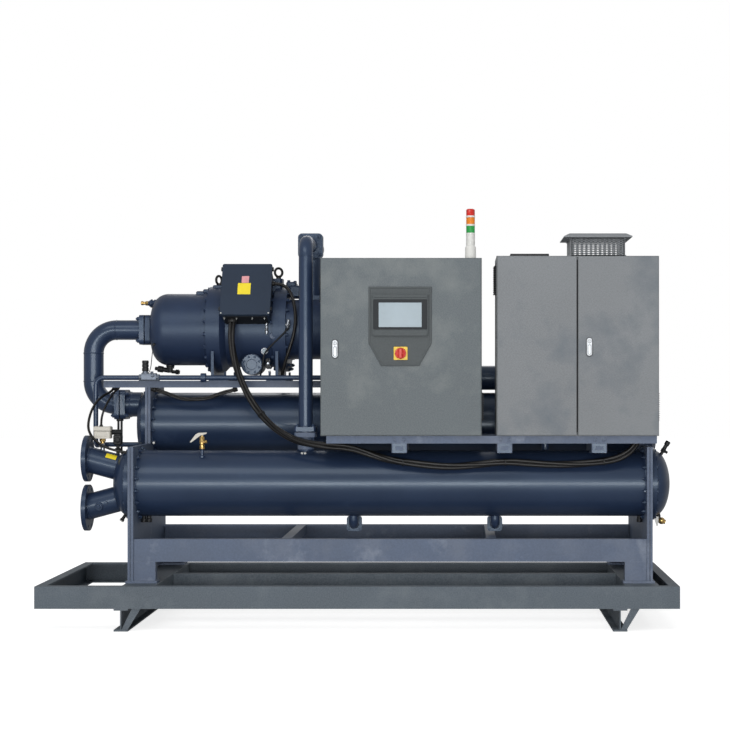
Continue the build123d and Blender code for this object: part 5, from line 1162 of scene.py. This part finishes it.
def swing_lock(name, x, z, body):
    """Swing-handle lock: metal case with its keyhole and grip, a dark outline round it as painted shade
    of its recess, and dark rings as painted shade in the gaps round the grip and keyhole.
    """
    # Dark outline round the lock: painted shade of the recess it sits in.
    recess_shade = Shape()
    recess_shade.plate(stadium(35, 102), (x, DOOR_FACE, z), X_AXIS, Z_AXIS, 2.4, 0.8)
    recess_shade.piece(name + "_recess_shade", dark_plastic, body)
    lock = Shape()
    lock.plate(stadium(30, 96), (x, -502, z), X_AXIS, Z_AXIS, 7, 2.6)
    lock.lathe(capped((0, 8), (2.4, 7.4), (2.4, 3.6), (1, 3)), (x, -508.9, z + 29), FRONT, 24)
    lock.plate(stadium(16, 50), (x, -509.4, z - 14), X_AXIS, Z_AXIS, 3, 1.4)
    lock.piece(name, lock_metal, body, slot="valve_metal")
    # Dark rings round the grip and keyhole: painted shade in their gaps.
    gap_shade = Shape()
    gap_shade.plate(stadium(19, 53), (x, -509, z - 14), X_AXIS, Z_AXIS, 0.5, 0.1)
    gap_shade.lathe(rod(0, 0.4, 9.6), (x, -509, z + 29), FRONT, 24)
    gap_shade.piece(name + "_gap_shade", dark_plastic, body)


swing_lock("control_door_lock", -122.5, 1472.6, "control_leaf")
swing_lock("starter_door_lock", 1215.6, 1483, "right_leaf")

dimples = Shape()
for x, z in ((616, 1780), (631, 1186)):
    dimples.lathe([(0, 13), (1.2, 13), (1.6, 11), (0.4, 4), (0.4, 0)], (x - 6, DOOR_FACE, z), FRONT, 24)
dimples.piece("control_door_dimples", control_paint, "control_leaf", slot="control_paint")

# Louvres pressed out of the cabinets' sides
CONTROL_LEFT, CONTROL_RIGHT, CONTROL_TOP = -201, 650, 1953
STARTER_LEFT, STARTER_RIGHT, STARTER_TOP = 728, 1585, 1964
CABINET_FOOT = 1014


def louvre_bank(name, x, side, z_low, z_high):
    """Blades in a frame on a cabinet's side; side is the way they stand out."""
    y_low, y_high = -400, -230
    count = 13
    bank = Shape()
    pitch = (z_high - z_low) / count
    for k in range(count):
        z = z_low + pitch * (k + 0.5)
        bank.rings(
            [
                [
                    Vector((x, y, z - pitch * 0.42)),
                    Vector((x + side * 13, y, z - pitch * 0.42)),
                    Vector((x + side * 14, y, z - pitch * 0.3)),
                    Vector((x + side * 2, y, z + pitch * 0.44)),
                    Vector((x, y, z + pitch * 0.44)),
                ]
                for y in (y_low, y_low + 3, y_high - 3, y_high)
            ]
        )
        start = len(bank.verts) - 20
        bank.faces.append(tuple(range(start, start + 5)))
        bank.faces.append(tuple(range(start + 15, start + 20)))
    for y in (y_low - 6, y_high + 6):
        bank.block((x + side * 1, y, (z_low + z_high) / 2), (3, 8, z_high - z_low + 18), 0.8)
    for z in (z_low - 6, z_high + 6):
        bank.block((x + side * 1, (y_low + y_high) / 2, z), (3, y_high - y_low + 18, 8), 0.8)
    bank.piece(name, dark_plastic, slot="fan_black")


louvre_bank("control_louvres_left", CONTROL_LEFT, -1, 1724, 1869)
louvre_bank("control_louvres_right", CONTROL_RIGHT, 1, 1094, 1245)
louvre_bank("starter_louvres_left", STARTER_LEFT, -1, 1768, 1922)
louvre_bank("starter_louvres_right", STARTER_RIGHT, 1, 1094, 1245)

# Hood: slotted sheets at its front and back; guard over the roof fan
HOOD_X = 1265
HOOD_Y = -292
grille = Shape()
for y in (-449, -137):
    for k in range(12):
        grille.block((HOOD_X + (k - 5.5) * 24.4, y, 2014), (12.5, 2, 96), 0.4)
    for k in range(9):
        grille.block((HOOD_X, y, 1968 + k * 11.5), (284, 2, 5.4), 0.4)
for x in (HOOD_X - 148, HOOD_X + 148):
    for z in (1968, 2060):
        grille.block((x, HOOD_Y, z), (3, 316, 6), 0.6)
# Grilles in the lightened hood paint: painted light against the cap's shade.
grille.piece("hood_grilles", hood_paint_lit, slot="starter_paint")

fan_guard = Shape()
for k in range(15):
    fan_guard.block((816 + k * 12.9, HOOD_Y, 1978.5), (5, 196, 6), 1)
for y in (HOOD_Y - 100, HOOD_Y + 100):
    fan_guard.block((906, y, 1978), (206, 8, 7), 1.5)
fan_guard.piece("roof_fan_guard", dark_plastic, slot="fan_black")

# Signal tower
TOWER = (592, -266)
tower = Shape()
tower.turned(
    (*TOWER, 0), Z_AXIS,
    (40, capped((1953, 33), (1957, 34), (1963, 34), (1968, 30), (2026, 29), (2032, 25), (2036, 22))),
    (40, capped((2034, 23), (2041, 24), (2094, 24))),
)
for low, high in ((2092, 2103), (2140, 2150), (2186, 2196)):
    tower.lathe(
        capped((low, 24.2), (low + 2, 24.6), (high - 2, 24.6), (high, 24.2)), (*TOWER, 0), Z_AXIS, 40,
    )
for k in range(3):
    turn = 2 * math.pi * (k + 0.25) / 3
    tower.lathe(
        [(1957, 0), (1957, 4), (1960.5, 3.6), (1961, 0)],
        (TOWER[0] + 31 * math.cos(turn), TOWER[1] + 31 * math.sin(turn), 3), Z_AXIS, 10,
    )
tower.piece("signal_tower_body", white_plastic, slot="grey_plastic", replaces=["signal_tower"])


def lamp(name, low, high, material, top=False):
    """Lens of fine upright flutes; the topmost one is domed."""
    profile = [(low, 23.4), (high - (6 if top else 0), 23.4)]
    if top:
        profile += [(high - 2, 21), (high, 16)]
    rings = [fluted_ring(TOWER, z, radius, 0.5, 96) for z, radius in profile]
    lens = Shape()
    lens.rings([[Vector((*TOWER, low))], *rings, [Vector((*TOWER, high))]])
    lens.piece(name, material, slot="lamp_plastic")


lamp("signal_lamp_green", 2102.5, 2140.5, lamp_green)
lamp("signal_lamp_orange", 2149.5, 2186.5, lamp_orange)
lamp("signal_lamp_red", 2195.5, 2233, lamp_red, True)

# Door backs: folded stiffeners, seal, display housing and lock rods
DOOR_FOOT = 1018


def door_back(name, left, right, top, body, material, slot_name):
    """Folded stiffeners with their holes, and the seal, behind a door's sheet."""
    frame_part = Shape()
    low, high = 1070, top - 56
    inner_left, inner_right = left + 62, right - 62
    for x in (inner_left, inner_right):
        frame_part.block((x, -474, (low + high) / 2), (30, 16, high - low), 3)
        for k in range(17):
            z = low + 30 + k * (high - low - 60) / 16
            frame_part.lathe([(0, 6.5), (1.4, 6.5), (1.8, 5.5), (0.3, 5)], (x, -466.2, z), Y_AXIS, 16)
    for z in (low, (low + high) / 2 - 130, high):
        frame_part.block(((inner_left + inner_right) / 2, -474, z), (inner_right - inner_left, 16, 26), 3)
    frame_part.piece(name + "_stiffeners", material, body, slot=slot_name)
    seal_part = Shape()
    for x in (left + 32, right - 32):
        seal_part.block((x, -480.4, (DOOR_FOOT + top) / 2), (12, 3.6, top - DOOR_FOOT - 56), 1.2)
    for z in (DOOR_FOOT + 32, top - 32):
        seal_part.block(((left + right) / 2, -480.4, z), (right - left - 52, 3.6, 12), 1.2)
    seal_part.piece(name + "_seal", gasket_black, body)


door_back("control_door", -197, 646, 1949, "control_leaf", control_paint, "control_paint")
door_back("starter_left_door", 732, 1149, 1960, "left_leaf", starter_paint, "starter_paint")
door_back("starter_right_door", 1157, 1581, 1960, "right_leaf", starter_paint, "starter_paint")

housing = Shape()
housing.plate(rounded(270, 180, 6), (PANEL_X, -482, PANEL_Z), X_AXIS, Z_AXIS, 0.5, 0.2)
housing.block((PANEL_X, -460, PANEL_Z), (262, 44, 172), 4)
housing.block((PANEL_X, -436, 1640), (190, 8, 110), 2)
for k in range(14):
    housing.block((150 + k * 10.8, -431, 1640), (4, 3, 96), 0.8)
housing.block((SWITCH_X, -466, SWITCH_Z), (62, 32, 62), 4)
housing.block((SWITCH_X, -448, SWITCH_Z), (44, 10, 70), 2)
housing.piece("display_housing", dark_plastic, "control_leaf", slot="grey_plastic")
for name, x, z, rod_x, rod_top, body in (
    ("control_lock_rods", -122, 1472, -160, 1860, "control_leaf"),
    ("starter_lock_rods", 1216, 1483, 1190, 1870, "right_leaf"),
):
    lock_rods = Shape()
    lock_rods.block((x, -474, z), (44, 16, 110), 4)
    lock_rods.lathe(rod(1100, rod_top, 5), (rod_x, -474, 0), Z_AXIS, 14)
    for guide_z in (1120, z, rod_top - 20):
        lock_rods.block((rod_x, -475, guide_z), (20, 14, 30), 2)
    lock_rods.piece(name, zinc_plate, body, slot="zinc_plate")

# Gear on the mounting plates
PLATE_FRONT = -136
UPPER_ROW = 1730
MIDDLE_ROW = 1500
TERMINAL_ROW = 1250
POLES = (1084, 1130, 1176)
STARTERS = (965, 1155, 1345)


def duct(shape, left, right, low, high):
    """Slotted wiring duct with a snapped-on lid."""
    middle_x, middle_z = (left + right) / 2, (low + high) / 2
    shape.block((middle_x, PLATE_FRONT - 26, middle_z), (right - left, 52, high - low), 1)
    shape.block((middle_x, PLATE_FRONT - 56, middle_z), (right - left + 3, 8, high - low + 3), 1.5)
    if right - left > high - low:
        for k in range(int((right - left) / 14)):
            x = left + 8 + 14 * k
            for z in (low, high):
                shape.block((x, PLATE_FRONT - 30, z), (8, 38, 2.4), 0.4)
    else:
        for k in range(int((high - low) / 14)):
            z = low + 8 + 14 * k
            for x in (left, right):
                shape.block((x, PLATE_FRONT - 30, z), (2.4, 38, 8), 0.4)


def rail_strip(shape, left, right, z):
    """Mounting rail of hat section."""
    shape.block(((left + right) / 2, PLATE_FRONT - 4, z), (right - left, 8, 27), 0.8)
    shape.block(((left + right) / 2, PLATE_FRONT - 8, z), (right - left, 1.5, 35), 0.4)


def contactor(shape, dark, x, z, width=45, height=84, depth=88):
    """Contactor: body, raised front, its slide and its terminal screws."""
    shape.block((x, PLATE_FRONT - depth / 2, z), (width - 1, depth, height * 0.98), 2)
    shape.block((x, PLATE_FRONT - depth - 6, z), (width * 0.86, 16, height * 0.5), 2)
    dark.block((x, PLATE_FRONT - depth - 15, z), (width * 0.4, 4, height * 0.24), 1)
    for side in (-1, 1):
        for k in (-1, 0, 1):
            at = (x + k * width * 0.29, PLATE_FRONT - depth + 0.5, z + side * height * 0.38)
            dark.lathe(
                [(0, width * 0.1), (1.6, width * 0.1), (2, width * 0.085), (0.6, 0)], at, FRONT, 12,
            )


def breaker(shape, dark, x, z):
    """Narrow breaker with its toggle."""
    width, height, depth = 17.6, 82, 62
    shape.block((x, PLATE_FRONT - depth / 2, z), (width - 0.8, depth, height), 1.4)
    shape.block((x, PLATE_FRONT - depth - 5, z), (width - 0.8, 14, height * 0.54), 1.4)
    dark.block((x, PLATE_FRONT - depth - 15, z + 2), (width * 0.5, 12, height * 0.14), 1.4)


gear_light, gear_dark, gear_zinc = Shape(), Shape(), Shape()
for low, high in ((1822, 1876), (1590, 1640), (1360, 1410), (1092, 1142)):
    duct(gear_light, -118, 567, low, high)
for left in (-118, 517):
    for low, high in ((1644, 1818), (1414, 1586), (1146, 1356)):
        duct(gear_light, left, left + 50, low, high)
for z in (UPPER_ROW, MIDDLE_ROW, TERMINAL_ROW):
    rail_strip(gear_zinc, -60, 510, z)
for k in range(6):
    x = -36 + k * 42
    gear_dark.block((x, PLATE_FRONT - 46, UPPER_ROW), (40, 76, 100), 2)
    gear_light.block((x, PLATE_FRONT - 85, UPPER_ROW - 24), (30, 4, 38), 1)
    for j in range(6):
        gear_dark.block((x, PLATE_FRONT - 85, UPPER_ROW + 10 + j * 6), (28, 3, 3), 0.6)
for k in range(12):
    breaker(gear_light, gear_dark, 238 + k * 19, UPPER_ROW)
for k in range(7):
    contactor(gear_light, gear_dark, -30 + k * 48, MIDDLE_ROW)
for k in range(6):
    gear_dark.block((330 + k * 27, PLATE_FRONT - 36, MIDDLE_ROW), (25, 64, 78), 2)
    gear_light.block((330 + k * 27, PLATE_FRONT - 69, MIDDLE_ROW + 8), (18, 5, 28), 1)
for k in range(72):
    gear_light.block((-50 + k * 7.4, PLATE_FRONT - 30, TERMINAL_ROW), (6.6, 44, 52), 0.8)
    for side in (-1, 1):
        gear_zinc.lathe(
            [(0, 2.4), (0.8, 2.2), (0.8, 0)],
            (-50 + k * 7.4, PLATE_FRONT - 52, TERMINAL_ROW + side * 17), FRONT, 8,
        )

for low, high in ((1834, 1888), (1560, 1612), (1096, 1150)):
    duct(gear_light, 812, 1500, low, high)
for left in (812, 1450):
    for low, high in ((1616, 1830), (1154, 1556)):
        duct(gear_light, left, left + 50, low, high)
gear_dark.block((POLES[1], PLATE_FRONT - 52, 1722), (142, 104, 196), 5)
gear_dark.block((POLES[1], PLATE_FRONT - 112, 1722), (92, 20, 80), 4)
gear_light.block((POLES[1], PLATE_FRONT - 128, 1732), (20, 26, 46), 4)
for x in POLES:
    for z in (1800, 1644):
        gear_zinc.lathe([(0, 12), (2, 12), (3, 10), (3, 0)], (x, PLATE_FRONT - 104, z), FRONT, 16)
for left, right in ((880, 1040), (1230, 1440)):
    rail_strip(gear_zinc, left, right, UPPER_ROW)
for k in range(7):
    breaker(gear_light, gear_dark, 892 + k * 21, UPPER_ROW)
for k in range(4):
    contactor(gear_light, gear_dark, 1262 + k * 50, UPPER_ROW)
for x in STARTERS:
    contactor(gear_light, gear_dark, x, 1440, 150, 170, 130)
    gear_dark.block((x, PLATE_FRONT - 40, 1296), (110, 76, 80), 4)
    gear_light.block((x, PLATE_FRONT - 82, 1296), (60, 10, 40), 2)
gear_light.piece("cabinet_gear_light", grey_plastic, slot="grey_plastic")
gear_dark.piece("cabinet_gear_dark", dark_plastic, slot="grey_plastic")
gear_zinc.piece("cabinet_gear_rails", zinc_plate, slot="zinc_plate")

bars = Shape()
for k, (x, target_x) in enumerate(zip(POLES, STARTERS)):
    bars.block((x, PLATE_FRONT - 100, 1614), (24, 5, 70), 1)
    bars.block(
        ((x + target_x) / 2, PLATE_FRONT - 96 - 9 * k, 1580 - 12 * k), (abs(target_x - x) + 24, 5, 10),
        1,
    )
    bars.block((target_x, PLATE_FRONT - 100, 1550), (24, 5, 70), 1)
bars.piece("starter_busbars", copper, slot="valve_brass")

wires = Shape()
for k in range(7):
    for j in (-1, 1):
        x = -30 + k * 48 + j * 9
        for side in (1, -1):
            route = [
                (x + across * side, y, MIDDLE_ROW + rise * side)
                for across, y, rise in ((0, -216, 34), (0, -228, 52), (4, -214, 76), (4, -170, 92))
            ]
            pipe_run(wires, route, 1.8, 6, 6)
for k in range(24):
    x = -50 + k * 22.2
    pipe_run(
        wires, [(x, -180, 1276), (x, -196, 1294), (x + 3, -190, 1336), (x + 3, -168, 1358)], 1.6, 6, 6,
    )
for middle_x in STARTERS:
    for x in (middle_x - 42, middle_x, middle_x + 42):
        pipe_run(
            wires, [(x, -208, 1260), (x, -214, 1238), (x + 4, -206, 1190), (x + 4, -170, 1152)], 7, 10,
            8,
        )
wires.piece("cabinet_wires", cable_black, slot="cable_black")

# Centre post behind the gap of the starter cabinet's doors, coloured dark as painted shade in the gap
post = Shape()
post.block((1153, -468, 1489), (30, 14, 918), 2)
post.piece("starter_door_gap_shade_post", dark_plastic, slot="fan_black")

# Rear covers of the cabinets
for name, left, right, top, material, slot_name in (
    ("control", CONTROL_LEFT, CONTROL_RIGHT, CONTROL_TOP, control_paint, "control_paint"),
    ("starter", STARTER_LEFT, STARTER_RIGHT, STARTER_TOP, starter_paint, "starter_paint"),
):
    rear = Shape()
    width, height = right - left - 60, top - CABINET_FOOT - 60
    centre = ((left + right) / 2, -84, (CABINET_FOOT + top) / 2)
    rear.plate(rounded(width, height, 6), centre, -X_AXIS, Z_AXIS, 3, 1)
    for x in (-width / 2 + 16, 0, width / 2 - 16):
        for z in (-height / 2 + 16, -height / 6, height / 6, height / 2 - 16):
            rear.lathe(
                capped((2, 8), (5, 7.4), (6.4, 4.5)), (centre[0] + x, -84, centre[2] + z), Y_AXIS, 14,
            )
    rear.piece(name + "_rear_cover", material, slot=slot_name)

# Ties on the motor cable, small caps on the shells
ties = Shape()
for goal_x in (-0.55, 0.235, 0.775, 1.30):
    best = min(range(2, len(motor_line) - 2), key=lambda i: abs(motor_line[i].x - goal_x))
    axis = motor_line[best + 2] - motor_line[best - 2]
    ties.lathe(
        [(-3, 21), (-3, 22.6), (3, 22.6), (3, 21)], motor_line[best] / MM, axis, 24
    )
    ties.block(motor_line[best] / MM + Vector((0, -21, 10)), (7, 6, 8), 1.4)
ties.piece("cable_ties", rubber, slot="gland_black")
caps = Shape()
for x, y, z, out in (
    (-1202, 56, 959, FRONT), (-1177, 56, 959, FRONT),
    (-314, -302, 913, (0, -0.41, 0.91)), (-298, -302, 913, (0, -0.41, 0.91)),
):
    caps.lathe(rod(-3, 7, 6.5, 2), (x, y, z), out, 16)
caps.piece("shell_port_caps", white_plastic, slot="valve_metal")

# Cabinet frame: joints of the rail, bolts and angle pieces at the brackets
BRACKETS = (215, 771, 1270)
frame_trim = Shape()
for x in BRACKETS:
    frame_trim.block((x, -481.5, 949), (42, 5, 20), 1.5)
    for dx in (-24, 24):
        frame_trim.bolt((x + dx, -480, 994), FRONT, 7, 6)
for x in (-92, -12):
    frame_trim.block((x, -460, 994), (2, 42, 42), 0.5)
frame_trim.piece("cabinet_frame_trim", frame_paint, slot="frame_paint")
bracket_edges = Shape()
for x in BRACKETS:
    for side in (-1, 1):
        bracket_edges.block((x + side * 37, -300, 949), (6, 361, 50), 1)
bracket_edges.piece("cabinet_bracket_cheeks", frame_paint, slot="frame_paint")

# CAD nodes: a finish for each
FINISHES = (
    (
        base_paint,
        "base_long_channels base_end_channels base_cross_members base_centre_channel base_runners",
    ),
    (
        frame_paint,
        "left_end_plate right_end_plate lower_beams beam_feet beam_cross_bars condenser_gas_inlet "
        "evaporator_tube_plates compressor_rails rail_saddle cabinet_rails",
    ),
    (
        vessel_paint,
        "condenser_shell condenser_left_head condenser_right_head condenser_water_outlet "
        "condenser_water_inlet evaporator_shell evaporator_suction_head evaporator_end_head "
        "chilled_water_inlet chilled_water_outlet",
    ),
    (
        compressor_paint,
        "compressor_suction_cover compressor_motor_casing compressor_screw_casing "
        "compressor_oil_separator compressor_feet",
    ),
    (terminal_paint, "terminal_box"),
    (rubber, "compressor_eye_bolts cable_glands"),
    (
        pipe_paint,
        "suction_pipe discharge_pipe discharge_valve liquid_outlets liquid_line filter_drier feed_line "
        "cabinet_brackets",
    ),
    (steel, "expansion_valve"),
    (control_paint, "control_cabinet_body control_door"),
    (starter_paint, "starter_cabinet_body starter_left_door starter_right_door"),
    (zinc_plate, "cabinet_mounting_plates"),
    (panel_paint, "operator_panel"),
    (knob_red, "main_switch"),
    # Vent hood in the lightened paint: painted light against its cap's shade.
    (hood_paint_lit, "vent_hood"),
    (dark_plastic, "roof_fan_cover"),
    (white_plastic, "signal_tower"),
    (grey_plastic, "flow_switch"),
    (brass, "service_valves"),
    (cable_black, "motor_cable flow_switch_cable sensor_cable rail_cable oil_hose"),
)
for finish, node_names in FINISHES:
    for node_name in node_names.split():
        node_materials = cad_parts[node_name].data.materials
        node_materials.clear()
        node_materials.append(finish)

# Floor, backdrop and light
FLOOR_GLOW = 0.78
WORLD_LIGHT = 0.48
floor_mesh = bpy.data.meshes.new("floor")
floor_mesh.from_pydata([(-30, -30, 0), (30, -30, 0), (30, 30, 0), (-30, 30, 0)], [], [(0, 1, 2, 3)])
floor = bpy.data.objects.new("floor", floor_mesh)
bpy.context.scene.collection.objects.link(floor)
floor_material = bpy.data.materials.new("floor_white")
floor_material.use_nodes = True
floor_tree = floor_material.node_tree
floor_shader = floor_tree.nodes["Principled BSDF"]
floor_shader.inputs["Base Color"].default_value = (0.6, 0.6, 0.6, 1)
floor_shader.inputs["Roughness"].default_value = 0.8
floor_rays = node(floor_tree, "ShaderNodeLightPath").outputs
floor_glow = node(
    floor_tree, "ShaderNodeEmission",
    {"Color": (1, 1, 1, 1), "Strength": times(floor_tree, floor_rays["Is Camera Ray"], FLOOR_GLOW)},
)
floor_sum = node(
    floor_tree, "ShaderNodeAddShader", {0: floor_shader.outputs[0], 1: floor_glow.outputs[0]},
)
floor_tree.links.new(floor_sum.outputs[0], floor_tree.nodes["Material Output"].inputs["Surface"])
floor.data.materials.append(floor_material)

world = bpy.data.worlds.new("studio")
bpy.context.scene.world = world
world.use_nodes = True
world_tree = world.node_tree
world_background = world_tree.nodes["Background"]
rays = node(world_tree, "ShaderNodeLightPath").outputs
seen_rays = {0: rays["Is Camera Ray"], 1: rays["Is Transmission Ray"]}
seen = node(world_tree, "ShaderNodeMath", seen_rays, operation="MAXIMUM").outputs[0]
strength = span(world_tree, seen, 0, 1, WORLD_LIGHT, 1.0)
world_tree.links.new(strength, world_background.inputs["Strength"])
world_background.inputs["Color"].default_value = (1, 1, 1, 1)


def soft_light(name, place, target, size_x, size_y, watts):
    """Rectangular lamp that looks at a target."""
    data = bpy.data.lights.new(name, "AREA")
    data.shape = "RECTANGLE"
    data.size = size_x
    data.size_y = size_y
    data.energy = watts
    made = bpy.data.objects.new(name, data)
    made.location = place
    made.rotation_euler = (Vector(target) - Vector(place)).to_track_quat("-Z", "Y").to_euler()
    bpy.context.scene.collection.objects.link(made)


soft_light("front", (0.5, -13.0, 1.0), (0.2, 0, 1.0), 12.0, 2.0, 880)
soft_light("key", (-1.5, -4.5, 5.2), (0, 0, 0.9), 5.0, 2.0, 90)
soft_light("back", (0.5, 5.0, 4.5), (0, 0, 1.2), 5.0, 2.0, 55)

bpy.context.scene.view_settings.view_transform = "Standard"
